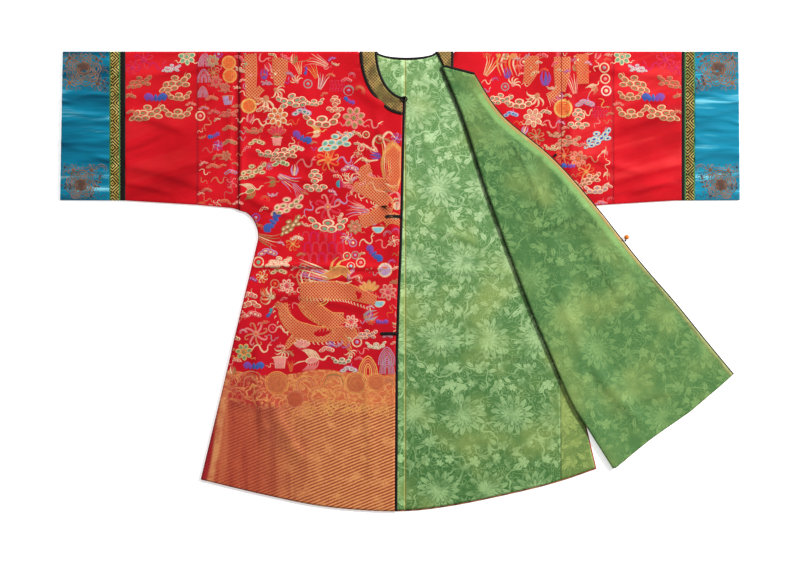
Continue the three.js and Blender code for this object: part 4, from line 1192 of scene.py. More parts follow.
def cuff_lift(x, y):
    """Puckers across a cuff, wandering and fading along their length, over finer ones and soft waves."""
    lift = settle(x, y, 50, 0.3) + 0.12 * np.sin(y / 2.6 + 3 * np.sin(x / 31))
    for number, (height, width, rise) in enumerate(CUFF_PUCKERS):
        wander = 5 * np.sin(x / 24 + number * 1.7) + 0.1 * (x - 700) * np.sin(number * 2.3)
        fade = 0.6 + 0.4 * np.sin(x / 21 + number * 2.9)
        lift = lift + PUCKER_RISE * rise * fade * np.exp(-(((y - height - wander) / width) ** 2))
    return lift


def loop_strip(left, right, y):
    """A flat fabric loop: two rolled cords side by side, joined round at the outer end."""
    half = LOOP_WIDTH / 4
    bend = np.linspace(0, PI, 15)
    straight = np.linspace(right, left + half * 2, 24)
    x = np.concatenate([straight, left + half * 2 - half * np.sin(bend[1:-1]), straight[::-1]])
    off = np.concatenate([np.full(24, half), half * np.cos(bend[1:-1]), np.full(24, -half)])
    z = np.full(x.shape, FRONT_TOP_Z + BINDING_PROUD + SEAM_GAP + LOOP_HEIGHT / 2)
    return tube(np.stack([x, y + off, z], -1), LOOP_WIDTH / 4, flatten=LOOP_HEIGHT / (LOOP_WIDTH / 2))


def tube(path, radius, flatten=1.0, around=12, closed=False):
    """A round cord: a circle carried along a path, flattened in height, with rounded ends."""
    path = np.asarray(path, float)
    if closed:
        run = np.roll(path, -1, axis=0) - np.roll(path, 1, axis=0)
    else:
        run = np.gradient(path, axis=0)
    run /= np.linalg.norm(run, axis=1, keepdims=True)
    across = np.stack([-run[:, 1], run[:, 0], 0 * run[:, 0]], -1)
    across /= np.maximum(np.linalg.norm(across, axis=1, keepdims=True), 1e-9)
    up = np.cross(run, across)
    size = np.full(len(path), float(radius))
    if not closed:
        first, last = run[:1] * radius, run[-1:] * radius
        path = np.concatenate([
            path[:1] - first, path[:1] - first * 0.7, path, path[-1:] + last * 0.7, path[-1:] + last,
        ])
        across, up = (np.concatenate([v[:1], v[:1], v, v[-1:], v[-1:]]) for v in (across, up))
        size = np.concatenate([[0.02, 0.7 * radius], size, [0.7 * radius, 0.02]])
    turn = np.linspace(0, 2 * PI, around, endpoint=False)
    ring = across[:, None] * np.cos(turn)[:, None] + up[:, None] * np.sin(turn)[:, None] * flatten
    points = (path[:, None] + ring * size[:, None, None]).reshape(-1, 3)
    ids = numbered(len(path), around)
    faces = ring_faces(ids, np.roll(ids, -1, axis=0)) if closed else ring_faces(ids[:-1], ids[1:])
    if not closed:
        caps = [[ids[0, 0], ids[0, k + 1], ids[0, k]] for k in range(1, around - 1)]
        caps += [[ids[-1, 0], ids[-1, k], ids[-1, k + 1]] for k in range(1, around - 1)]
        faces = np.concatenate([faces, np.array(caps)])
    return points, facing_out(points, faces), np.zeros(len(faces), bool)


def neck_loop():
    """The small ring of cord at the neck, a little wider than it is tall."""
    turn = np.linspace(0, 2 * PI, 40, endpoint=False)
    loop = NECK_LOOP
    x = loop["x"] + loop["stretch"] * loop["radius"] * np.cos(turn)
    y = loop["y"] + loop["radius"] * np.sin(turn)
    level = BANDS["collar"]["right"] + BANDS["collar"]["cloth"] / 2 + SEAM_GAP + loop["cord"]
    return tube(np.stack([x, y, np.full(40, level)], -1), loop["cord"], closed=True)


def knot(start, end, z, radius):
    """A short rounded knot of cord between two places."""
    share = np.linspace(0, 1, 6)[:, None]
    path = lerp(np.array([*start, z], float), np.array([*end, z], float), share)
    return tube(path, radius, around=16)


def ball_button():
    """A ball resting on the table, its outline faintly rippled."""
    rings, steps = 25, 32
    down, around = np.linspace(0, PI, rings)[:, None], np.linspace(0, 2 * PI, steps, endpoint=False)[None]
    reach = np.sin(down) * (1 + 0.03 * np.cos(6 * down) * np.sin(down))
    x, z = reach * np.cos(around), reach * np.sin(around)
    unit = np.stack(np.broadcast_arrays(x, np.cos(down) + 0 * around, z), -1).reshape(-1, 3)
    points = unit * BALL["radius"] + [BALL["x"], BALL["y"], BALL["radius"]]
    ids = numbered(rings, steps)
    points, faces = merged(points, ring_faces(ids[:-1], ids[1:]))
    return points, facing_out(points, faces), np.zeros(len(faces), bool)


# Places in the photograph: millimetres to a pixel, and the pixel over x = y = 0
PIXEL = 2.3
PHOTO_MIDDLE_X = 400
PHOTO_MIDDLE_Y = 281.5

# Woven figures stand this far above the cloth, with their edges this far below its face
CROWN = 0.3
SUNK = -0.2
LAYER_RISE = 0.05
EDGE_TINGE = 0.6
EDGE_LINE = 3.2
FIGURE_SCALE = 1.12

SILKS = {
    "cream": (238, 206, 164), "white": (244, 228, 210), "pink": (234, 140, 132), "rose": (216, 52, 72),
    "magenta": (206, 24, 84), "orange": (228, 98, 44), "gold": (230, 158, 84), "yellow": (236, 184, 98),
    "tan": (206, 128, 90), "olive": (142, 128, 72), "green": (116, 168, 124), "teal": (44, 146, 158),
    "blue": (52, 92, 170), "sky": (140, 198, 206), "violet": (124, 70, 160), "lilac": (184, 148, 186),
    "grey": (158, 150, 150), "brown": (146, 98, 66), "bronze": (104, 80, 62), "red": (206, 16, 34),
    "black": (24, 18, 16), "rust": (188, 84, 52), "copper": (200, 104, 62), "straw": (216, 184, 132),
    "umber": (84, 66, 58), "deep": (8, 66, 92), "dusk": (196, 92, 88),
}


def photo_to_mm(photo_x, photo_y):
    """Millimetres on the robe of a place in the photograph."""
    x = (np.asarray(photo_x, float) - PHOTO_MIDDLE_X) * PIXEL
    return x, (PHOTO_MIDDLE_Y - np.asarray(photo_y, float)) * PIXEL


def dye(name, mesh=0.0):
    """A silk's colour, and how much of the gold scale mesh it shows."""
    return (*srgb(*SILKS[name])[:3], mesh)


def spin(degrees):
    """The matrix that turns points, as rows, by an angle."""
    turn = np.radians(degrees)
    return np.array([[np.cos(turn), np.sin(turn)], [-np.sin(turn), np.cos(turn)]])


def stroke(path, width, silks, taper=(0.6, 1, 0.25), mesh=0.0, layer=0):
    """A raised line along a smooth path. taper gives its half width at the start, middle and end as
    shares of width. The first silk fills it, and a second one edges it."""
    count = 4 * (len(path) - 1) + 1
    shares = np.linspace(0, 1, count)
    points, run = along_curve(curve_through(path, 12), shares)
    half = width * np.interp(shares, [0, 0.5, 1], taper)
    if len(silks) == 1:
        across = [-1, 0, 1]
        rise = [SUNK, CROWN, SUNK]
        colours = [dye(silks[0], mesh)] * 3
    else:
        inner = 1 - EDGE_LINE / width if width > 4 * EDGE_LINE else 0.66
        across = [-1, -0.5 - inner / 2, -inner, inner, 0.5 + inner / 2, 1]
        rise = [SUNK, CROWN, CROWN, CROWN, CROWN, SUNK]
        fill, edge = dye(silks[0], mesh), dye(silks[1])
        colours = [edge, edge, fill, fill, edge, edge]
    beside = np.stack([-run[:, 1], run[:, 0]], -1)
    xy = points[:, None] + beside[:, None] * (half[:, None] * np.array(across))[..., None]
    rise = np.tile(np.array(rise) + layer * LAYER_RISE, count)
    colours = np.tile(np.array(colours), (count, 1))
    return xy.reshape(-1, 2), rise, colours, grid_faces(numbered(*xy.shape[:2]))


def patch(outline, silks, middle=(0, 0), mesh=0.0, layer=0):
    """A domed patch inside an outline, in bands of up to three silks from the rim to the middle."""
    shares = {1: (1, 0.8), 2: (1, 0.8, 0.66), 3: (1, 0.9, 0.72, 0.62, 0.46, 0.36)}[len(silks)]
    bands = {1: (0, 0, 0), 2: (0, 0, 1, 1), 3: (0, 0, 0, 1, 1, 2, 2)}[len(silks)]
    outline = np.asarray(outline, float)
    around = len(outline)
    middle = np.asarray(middle, float)
    rings = middle + (outline - middle) * np.array(shares)[:, None, None]
    xy = np.concatenate([rings.reshape(-1, 2), middle[None]])
    rise = np.full(len(xy), CROWN + layer * LAYER_RISE)
    rise[:around] = SUNK
    tones = np.array([dye(silks[band], mesh if band == len(silks) - 1 else 0) for band in bands])
    colours = np.concatenate([np.repeat(tones[:-1], around, axis=0), tones[-1:]])
    ids = numbered(len(shares), around)
    fan = triangles_of((ids[-1], np.roll(ids[-1], -1), np.full(around, len(xy) - 1)))
    return xy, rise, colours, np.concatenate([ring_faces(ids[:-1], ids[1:]), fan])


def oval(x, y, radius_x, radius_y, turn=0.0, around=16, lobes=0, notch=0.0):
    """Outline of an oval about a place, turned by an angle, scalloped where it has lobes."""
    angle = np.linspace(0, 2 * PI, around, endpoint=False)
    reach = 1 - notch * (1 - np.abs(np.cos(lobes * angle / 2)))
    ring = np.stack([radius_x * reach * np.cos(angle), radius_y * reach * np.sin(angle)], -1)
    return ring @ spin(turn) + [x, y]


def smooth_outline(corners, steps=5):
    """A closed smooth outline through a few corners, going round anticlockwise."""
    ring = np.array([*corners, corners[0], corners[1], corners[2]], float)
    curve = curve_through(ring, steps)
    return curve[steps:steps * (len(corners) + 1)]


# Lobes of each kind of cloud, as place, size and angle, the last one lying over the others
CLOUD_LOBES = {
    "cloud": [
        (-0.9, -0.2, 0.2, 24), (-0.62, 0.08, 0.22, 30), (-0.56, -0.26, 0.22, -8), (0.86, 0.3, 0.2, 44),
        (0.6, -0.18, 0.22, -10), (0.56, 0.14, 0.24, 20), (-0.24, 0.08, 0.25, -6), (0.02, 0.38, 0.22, -12),
        (0.2, -0.02, 0.26, 8), (-0.16, -0.24, 0.22, 0),
    ],
    "bank": [
        (-0.84, 0.24, 0.2, -30), (-0.6, -0.04, 0.24, 0), (0.8, 0.3, 0.2, 34), (0.62, 0.0, 0.24, 12),
        (-0.2, -0.14, 0.24, -6), (0.22, -0.16, 0.24, 8), (0.02, 0.16, 0.26, 0),
    ],
    "tower": [
        (0.0, 0.86, 0.24, 0), (-0.24, 0.56, 0.24, 24), (0.26, 0.54, 0.24, -24), (-0.6, -0.28, 0.25, 8),
        (0.62, -0.3, 0.25, -8), (-0.3, -0.5, 0.22, 0), (0.3, -0.52, 0.22, 0), (0, 0.16, 0.26, 0),
        (0, -0.24, 0.24, 0),
    ],
    "puff": [
        (-0.62, -0.16, 0.32, 16), (0.62, -0.12, 0.32, -14), (-0.2, 0.14, 0.32, 8), (0.24, 0.02, 0.34, -4),
    ],
}


def cloud(kind, silks):
    """A ruyi cloud: many small lobes one over another, each with its rim, a fine line and a core, and
    an upswept tail."""
    rim, core = silks[0], silks[-1]
    line = silks[1] if len(silks) > 2 and silks[1] != rim else "rose"
    tail = np.array(CLOUD_LOBES[kind][-2][:2]) + [(0.1, 0), (0.5, 0.1), (0.44, 0.4), (0.62, 0.62)]
    shapes = [stroke(tail, 0.09, [rim], (1, 0.8, 0.1))]
    for number, (x, y, size, turn) in enumerate(CLOUD_LOBES[kind]):
        uneven = 1 + 0.12 * np.sin(3 * number + 1)
        outline = oval(x, y, size * 1.26 * uneven, size * 0.8 / uneven, turn, 13)
        middle = (x + 0.24 * size * np.sin(5 * number), y - 0.1 * size)
        shapes.append(patch(outline, [rim, line, core], middle, layer=number % 6))
    return shapes


def flower(silks, petals=7):
    """An open flower: outlined petals round a middle, over two ribbon tails."""
    rim, fill, core = (list(silks) + [silks[-1]] * 2)[:3]
    shapes = [
        stroke([(-0.6, -0.5), (-1.0, -0.66), (-1.15, -0.4), (-1.4, -0.5)], 0.1, [rim], (1, 0.8, 0.2)),
        stroke([(0.6, -0.5), (0.95, -0.75), (1.2, -0.6), (1.3, -0.85)], 0.1, [rim], (1, 0.8, 0.2)),
    ]
    for number in range(petals):
        angle = 2 * PI * number / petals + 0.3
        x, y = 0.62 * np.cos(angle), 0.62 * np.sin(angle)
        outline = oval(x, y, 0.38, 0.29, np.degrees(angle), 11)
        shapes.append(patch(outline, [rim, fill, core], (x, y), layer=1 + number % 2))
    return shapes + [patch(oval(0, 0, 0.26, 0.26, 0, 10), [rim, core], layer=4)]


def curl_flower(silks):
    """A flower of curling strokes round a middle."""
    curl = np.array([(0.2, 0), (0.6, 0.05), (0.95, 0.25), (0.9, 0.5), (0.66, 0.42)])
    shapes = []
    for number in range(8):
        path = curl @ spin(45 * number)
        shapes.append(stroke(path, 0.13, [silks[number % 2]], (1, 1, 0.5), layer=number % 2))
    return shapes + [patch(oval(0, 0, 0.34, 0.34, 0, 14, 7, 0.2), silks, layer=3)]


def scroll(silks):
    """A ribbon in an S with forked ends."""
    start = [(-1, -0.25), (-0.7, 0.2), (-0.3, 0.3), (-0.1, -0.1)]
    end = [(0.2, -0.4), (0.55, -0.2), (0.6, 0.25), (1, 0.3)]
    fork = stroke([(0.58, 0.2), (0.8, 0.5), (1, 0.66)], 0.1, [silks[-1]], (1, 0.8, 0.2), layer=1)
    return [stroke(start + end, 0.16, [silks[0]], (0.4, 1, 0.3)), fork]


def bat(silks):
    """A bat: two scalloped wings in two shades and a small body."""
    wing = smooth_outline([
        (0.06, -0.12), (0.3, -0.34), (0.5, -0.16), (0.72, -0.3), (1, 0.1), (0.7, 0.42), (0.3, 0.3),
    ])
    first = patch(wing, [silks[0]], (0.5, 0.05))
    second = patch(wing[::-1] * [-1, 1], [silks[-1]], (-0.5, 0.05))
    return [first, second, patch(oval(0, 0, 0.14, 0.34, 0, 12), [silks[0]], layer=1)]


def crane(silks):
    """A flying bird: a body, a neck, two wings of parallel feathers and trailing legs."""
    shapes = [patch(oval(-0.05, 0, 0.42, 0.2, 12, 14), [silks[0], silks[-1]])]
    shapes.append(stroke([(0.3, 0.1), (0.6, 0.02), (0.8, 0.22), (1, 0.2)], 0.09, [silks[0]], layer=1))
    for number in range(5):
        lean = 0.13 * number
        upper = [(-0.1 + lean, 0.05), (-0.4 + lean, 0.45), (-0.8 + lean, 0.62)]
        lower = [(-0.2 + lean, -0.05), (-0.3 + lean, -0.35), (-0.6 + lean, -0.6)]
        shapes.append(stroke(upper, 0.07, [silks[0]], layer=1))
        shapes.append(stroke(lower, 0.07, [silks[-1]]))
    return shapes + [stroke([(-0.4, -0.05), (-0.8, -0.12), (-1.1, -0.3)], 0.06, [silks[0]])]


def claw(silks):
    """A dragon's foot: five hooked claws fanned out from a palm."""
    hook = np.array([(0.16, 0), (0.5, 0.1), (0.86, 0.02), (1, -0.26)])
    shapes = [patch(oval(0, 0, 0.3, 0.26, 0, 12), [silks[-1]])]
    for angle in (-70, -34, 0, 34, 70):
        shapes.append(stroke(hook @ spin(angle), 0.13, [silks[0]], (0.7, 1, 0.1), layer=1))
    return shapes


def feather(silks):
    """Five long strokes that lie side by side and part at their ends."""
    shapes = []
    for number in range(5):
        off = (number - 2) * 0.17
        path = [(-1, off * 0.5), (-0.3, off), (0.4, off * 1.5 + 0.06), (1, off * 2.6 + 0.2)]
        shapes.append(stroke(path, 0.09, [silks[number % len(silks)]]))
    return shapes


def flame(silks):
    """Three wavering tongues."""
    tongues = [
        [(-0.2, -0.9), (-0.5, 0), (-0.3, 0.9)], [(0, -1), (0.1, 0.1), (0, 1)],
        [(0.2, -0.9), (0.55, 0), (0.4, 0.8)],
    ]
    shapes = []
    for number, path in enumerate(tongues):
        shapes.append(stroke(path, 0.3, [silks[number % len(silks)]], (1, 1, 0.1), layer=number))
    return shapes


def lotus(silks):
    """A lotus in side view: five pointed petals fanned from its base."""
    shapes = []
    for number, turn in enumerate((-60, 60, -32, 32, 0)):
        x, y = 0.55 * np.sin(np.radians(turn)), 0.55 * np.cos(np.radians(turn)) - 0.4
        shapes.append(patch(oval(x, y, 0.56, 0.24, 90 - turn, 12), silks[:2], (x, y), layer=number))
    return shapes + [stroke([(-0.4, -0.5), (0, -0.62), (0.4, -0.5)], 0.12, [silks[-1]], layer=5)]


def basket(silks):
    """A small basket: a tapered tub with upright canes and a rim."""
    tub = [(-0.6, -0.8), (0.6, -0.8), (0.86, 0.5), (0, 0.66), (-0.86, 0.5)]
    shapes = [patch(tub, [silks[0]], (0, -0.1))]
    for number in range(5):
        x = (number - 2) * 0.32
        shapes.append(stroke([(x * 0.8, -0.75), (x * 1.05, 0.5)], 0.07, [silks[-1]], (1, 1, 1), layer=1))
    rim = [(-0.95, 0.5), (0, 0.62), (0.95, 0.5)]
    return shapes + [stroke(rim, 0.14, [silks[-1]], (0.5, 1, 0.5), layer=2)]


def mountain(silks):
    """A rock: arches one inside another."""
    shapes = []
    for number in range(5):
        width = 0.95 - 0.19 * number
        bend, top = 0.1 - 0.1 * number, 1 - 0.25 * number
        path = [(-width, -1), (-width * 0.8, bend), (0, top), (width * 0.8, bend), (width, -1)]
        shapes.append(stroke(path, 0.085, [silks[number % len(silks)]], (1, 1, 1)))
    return shapes


def roundel(silks):
    """A round longevity badge: a disc crossed by fine bars."""
    shapes = [patch(oval(0, 0, 1, 1, 0, 26), [silks[0], silks[-1]])]
    for number in range(-3, 4):
        off = number * 0.24
        half = np.sqrt(0.84 - off * off)
        shapes.append(stroke([(-half, off), (half, off)], 0.05, [silks[0]], (1, 1, 1), layer=1))
        shapes.append(stroke([(off, -half), (off, half)], 0.05, [silks[0]], (1, 1, 1), layer=2))
    return shapes


def ring(silks):
    """A ring round a small disc."""
    loop = oval(0, 0, 0.8, 0.8, 0, 17)
    band = stroke(np.vstack([loop, loop[:1]]), 0.2, [silks[0]], (1, 1, 1))
    return [band, patch(oval(0, 0, 0.36, 0.36, 0, 10), [silks[-1]])]


def ball(silks):
    """A ball halved between two silks."""
    half = oval(0, 0, 1, 1, 0, 24)
    right, left = half[(half[:, 0] > -1e-6)], half[(half[:, 0] < 1e-6)]
    return [
        patch(right[np.argsort(np.arctan2(right[:, 1], right[:, 0]))], [silks[-1]], (0.4, 0)),
        patch(left[np.argsort(np.arctan2(-left[:, 1], -left[:, 0]))], [silks[0]], (-0.4, 0)),
    ]


def bowl(silks):
    """A shallow bowl: a half moon with a bright inside."""
    shape = smooth_outline([(-1, 0.4), (-0.6, -0.35), (0, -0.55), (0.6, -0.35), (1, 0.4), (0, 0.5)])
    return [patch(shape, silks, (0, 0))]


def scales(silks):
    """Rows of overlapping half rounds."""
    shapes = []
    for row in range(3):
        for column in range(5):
            x, y = (column - 2 + 0.25 * (row % 2)) * 0.38, 0.5 - 0.5 * row
            arch = [(x - 0.17, y - 0.24), (x - 0.12, y + 0.16), (x + 0.12, y + 0.16), (x + 0.17, y - 0.24)]
            shapes.append(stroke(arch, 0.06, [silks[(row + column) % len(silks)]], (1, 1, 1), layer=row))
    return shapes


def billow(silks):
    """A breaking wave: a spiral inside a double outline, over a small disc."""
    turn = np.linspace(0, 3.6 * PI, 15)
    reach = 0.7 * (1 - turn / (4.2 * PI))
    spiral = np.stack([reach * np.cos(turn), reach * np.sin(turn)], -1)
    rim = np.vstack([oval(0, 0, 0.93, 0.93, 0, 22), [(0.93, 0)]])
    disc = patch(oval(0, 0, 0.98, 0.98, 0, 26), [silks[-1]])
    rings = [stroke(rim * share, 0.05, [silks[0]], (1, 1, 1), layer=2) for share in (1, 0.86)]
    return [disc, *rings, stroke(spiral, 0.05, [silks[0]], (1, 1, 0.4), layer=2)]


def crest(silks):
    """Three arcs over one another, as foam over a wave."""
    shapes = []
    for number in range(3):
        size = 1 - 0.26 * number
        bend, top = size * 0.4, size * 0.66
        arch = [(-size, -0.4), (-size * 0.7, bend), (0, top), (size * 0.7, bend), (size, -0.4)]
        shapes.append(stroke(arch, 0.09, [silks[number % len(silks)]], (0.4, 1, 0.4)))
    return shapes


def peony(silks):
    """A couched peony: rows of petals drawn as arcs one inside another, over a dim ground."""
    shapes = [patch(oval(0, 0, 0.62, 0.54, 10, 24, 8, 0.3), [silks[-1]])]
    for row, (count, size, reach) in enumerate([(9, 0.36, 0.74), (8, 0.3, 0.46), (5, 0.24, 0.2)]):
        for number in range(count):
            angle = 2 * PI * (number + 0.5 * row) / count
            bend = angle + PI * np.linspace(-0.62, 0.62, 5)
            arc = np.stack([np.cos(bend), np.sin(bend)], -1)
            middle = np.array([reach * np.cos(angle), reach * np.sin(angle)])
            for share, width in ((1, 0.07), (0.56, 0.06)):
                path = middle + arc * size * share
                shapes.append(stroke(path, width, [silks[(number + row) % 2]], (0.5, 1, 0.5), layer=row + 1))
    return shapes


def sprig(silks):
    """A stem with paired leaves."""
    leaves = ((-0.5, 0.1, 100), (-0.2, -0.36, -60), (0.2, 0.42, 95), (0.4, -0.1, -40), (0.9, 0.36, 20))
    shapes = [stroke([(-1, -0.5), (-0.3, -0.1), (0.3, 0.15), (1, 0.6)], 0.07, [silks[0]])]
    for x, y, turn in leaves:
        shapes.append(patch(oval(x, y, 0.3, 0.14, turn, 10), silks[:2], (x, y), layer=1))
    return shapes


KINDS = {
    "flower": flower, "curls": curl_flower, "scroll": scroll, "bat": bat, "crane": crane, "claw": claw,
    "feather": feather, "flame": flame, "lotus": lotus, "basket": basket, "mountain": mountain,
    "roundel": roundel, "ring": ring, "ball": ball, "bowl": bowl, "scales": scales, "billow": billow,
    "crest": crest, "peony": peony, "sprig": sprig,
}


def figure(kind, photo_x, photo_y, size, silks, angle=0, flip=1):
    """One figure set on the robe: its kind, its place in the photograph, half its width in pixels, its
    silks, the angle that it is turned by and -1 where it is mirrored."""
    silks = silks.split()
    shapes = cloud(kind, silks) if kind in CLOUD_LOBES else KINDS[kind](silks)
    place = photo_to_mm(photo_x, photo_y)
    placed = []
    for xy, rise, colours, faces in shapes:
        moved = (xy * [flip, 1]) @ spin(angle) * size * FIGURE_SCALE * PIXEL + place
        placed.append((moved, rise, colours, faces[:, ::flip]))
    return placed


def limb(photo_path, width, silks, taper=(1, 1, 0.5), mesh=0.0, layer=0):
    """A stroke given by places in the photograph and its half width in pixels."""
    path = np.stack(photo_to_mm(*np.array(photo_path, float).T), -1)
    return stroke(path, width * PIXEL, silks.split(), taper, mesh, layer)


# Figures of the right front, as kind, photo_x, photo_y, half width in pixels, silks, angle and mirroring
CHEST_FIGURES = [
    ("roundel", 249, 106, 7.5, "yellow orange"), ("cloud", 293, 102, 14, "cream cream green", 8, -1),
    ("bank", 314, 103, 9, "cream cream green"), ("puff", 302, 112, 9, "lilac cream teal"),
    ("flower", 278, 117, 9.5, "cream tan orange"), ("puff", 264, 109, 7, "cream cream tan"),
    ("scroll", 261, 122, 8, "cream lilac"), ("scroll", 294, 122, 5.5, "orange orange"),
    ("bank", 322, 122, 16, "cream cream olive"), ("tower", 335, 106, 9, "cream cream tan"),
    ("flower", 354, 118, 10.5, "pink tan olive"), ("scroll", 373, 124, 8, "pink cream", -20),
    ("bat", 302, 138, 10, "blue violet", -28), ("crane", 317, 132, 9, "yellow cream"),
    ("cloud", 336, 143, 15, "cream sky green", 10), ("bank", 346, 135, 8, "cream cream sky"),
    ("bank", 254, 131, 9, "tan tan olive"), ("puff", 257, 142, 8, "tan cream olive"),
    ("lotus", 277, 131, 9, "tan rose olive"), ("basket", 277, 141, 5.5, "pink cream"),
    ("puff", 296, 148, 8, "pink cream green"), ("scroll", 292, 143, 5, "cream pink", 60),
    ("bank", 268, 154, 10, "cream cream green"), ("cloud", 285, 155, 12, "cream cream olive", 8),
    ("puff", 281, 163, 8, "cream green olive"), ("cloud", 253, 172, 13, "tan cream olive", 14),
    ("curls", 328, 160, 9.5, "gold orange"), ("feather", 329, 156, 7, "gold orange", 80),
    ("scroll", 306, 163, 9, "pink pink"), ("scroll", 346, 160, 8, "lilac cream"),
    ("puff", 350, 168, 8, "lilac cream"), ("crane", 273, 182, 8, "tan olive"),
    ("feather", 287, 181, 9, "lilac cream", -35), ("feather", 297, 189, 6, "lilac pink", -60),
    ("crane", 251, 191, 12, "cream olive", 10), ("tower", 315, 183, 12, "cream cream green"),
    ("ball", 340, 184, 3.8, "teal magenta"), ("cloud", 288, 206, 15, "pink cream olive", 14),
    ("curls", 328, 207, 11, "pink rose gold"), ("scroll", 309, 209, 7, "lilac pink", 50),
    ("scroll", 342, 201, 8, "lilac pink", 20), ("feather", 358, 210, 10, "pink lilac", 170),
    ("bat", 273, 222, 12, "blue blue", 56), ("cloud", 291, 226, 11, "olive tan cream", 30),
    ("bank", 328, 226, 17, "cream cream green", -4), ("puff", 340, 219, 6, "cream cream", 80),
    ("flower", 355, 227, 7, "tan olive pink"), ("bowl", 378, 230, 6, "cream sky"),
    ("puff", 297, 238, 6, "cream white"), ("curls", 293, 244, 6, "orange gold"),
    ("feather", 267, 240, 10, "olive tan cream", -24), ("scales", 322, 247, 19, "rose magenta rose"),
    ("ring", 353, 243, 4, "lilac cream"), ("scroll", 367, 241, 8, "cream cream", 20),
    ("scroll", 383, 244, 7, "pink cream", -30), ("puff", 268, 252, 9, "lilac cream"),
    ("bat", 374, 254, 10, "blue violet", -46), ("ring", 347, 256, 4, "cream green"),
    ("ring", 351, 266, 4, "cream sky"), ("puff", 350, 274, 6, "lilac cream", 60),
]
SKIRT_FIGURES = [
    ("cloud", 279, 263, 11, "cream pink cream"), ("puff", 279, 271, 8, "tan cream olive"),
    ("curls", 262, 277, 5, "yellow cream"), ("roundel", 385, 270, 7, "cream lilac"),
    ("ring", 359, 278, 3.4, "tan cream"), ("flower", 287, 286, 7, "pink cream rose"),
    ("lotus", 369, 287, 10, "tan gold rose"), ("flower", 388, 292, 8, "pink tan rose"),
    ("scroll", 297, 303, 6, "pink pink", 40), ("puff", 249, 295, 8, "cream pink"),
    ("puff", 251, 304, 9, "cream cream tan", 0, -1), ("puff", 253, 314, 8, "pink cream"),
    ("bat", 270, 313, 5, "teal blue", 60), ("curls", 256, 334, 10, "tan pink orange"),
    ("scroll", 284, 329, 8, "cream lilac"), ("bowl", 379, 304, 6, "cream sky"),
    ("scroll", 390, 312, 5, "orange gold", 60), ("bat", 382, 322, 6, "violet violet"),
    ("flower", 351, 322, 7, "pink cream rose"), ("lotus", 302, 344, 8, "cream pink rose"),
    ("ring", 357, 342, 5, "cream lilac"), ("cloud", 367, 335, 9, "cream cream grey"),
    ("bank", 376, 346, 9, "cream grey cream"), ("scroll", 262, 348, 9, "cream pink"),
    ("flower", 244, 352, 8, "gold green olive"), ("bat", 254, 366, 10, "blue violet"),
    ("basket", 280, 362, 7.5, "pink cream"), ("feather", 291, 366, 5, "orange gold", 90),
    ("crane", 313, 360, 16, "cream pink"), ("bank", 342, 361, 9, "cream grey olive"),
    ("puff", 349, 369, 8, "lilac cream grey"), ("mountain", 368, 366, 9, "yellow gold tan"),
    ("mountain", 387, 356, 8, "lilac grey"), ("mountain", 387, 366, 7, "grey lilac"),
    ("puff", 240, 276, 6, "lilac cream"), ("scroll", 239, 286, 5, "cream pink", 70),
    ("scroll", 236, 322, 6, "pink cream", 60), ("puff", 234, 338, 6, "cream olive"),
    ("scroll", 229, 362, 6, "pink cream"), ("ring", 300, 290, 3, "cream rose"),
    ("puff", 327, 349, 7, "cream pink"), ("flame", 330, 344, 4, "violet lilac", 80),
    ("scroll", 395, 330, 4, "cream pink", 90), ("puff", 395, 343, 4, "cream tan"),
]
HEM_FIGURES = [
    ("billow", 277, 383, 11, "gold copper"), ("crest", 334, 381, 12, "gold olive tan"),
    ("crest", 305, 385, 12, "gold tan", 16), ("billow", 356, 383, 10.5, "yellow copper"),
    ("billow", 376, 382, 8.5, "gold copper"), ("crest", 389, 383, 8, "gold tan olive", -24),
    ("crest", 250, 381, 13, "tan rust", 10), ("crest", 224, 383, 12, "tan rust"),
    ("crest", 262, 395, 9, "tan rust", 20), ("billow", 295, 399, 8, "tan rust"),
    ("crest", 316, 394, 9, "gold tan", 30), ("crest", 340, 395, 9, "gold tan"),
    ("crest", 279, 401, 9, "gold tan", -10), ("crest", 238, 394, 9, "tan rust", -8),
    ("scroll", 324, 401, 6, "gold yellow"), ("scroll", 334, 406, 6, "yellow gold", 20),
    ("scroll", 346, 402, 6, "gold yellow", 40), ("scroll", 357, 405, 6, "yellow gold", -10),
    ("scroll", 368, 399, 6, "gold yellow", -20), ("scroll", 379, 404, 6, "gold yellow", 10),
    ("crest", 366, 408, 6, "yellow gold"), ("crest", 328, 411, 6, "gold yellow", -20),
    ("crest", 350, 412, 6, "yellow gold", 10), ("scroll", 388, 396, 5, "gold gold", 80),
    ("crest", 384, 411, 6, "gold yellow"), ("scroll", 312, 406, 5, "gold gold", 30),
    ("crest", 300, 411, 6, "gold tan", 12), ("crest", 372, 393, 6, "gold yellow"),
    ("scroll", 263, 407, 5, "tan tan", 20), ("crest", 284, 411, 6, "tan rust"),
]
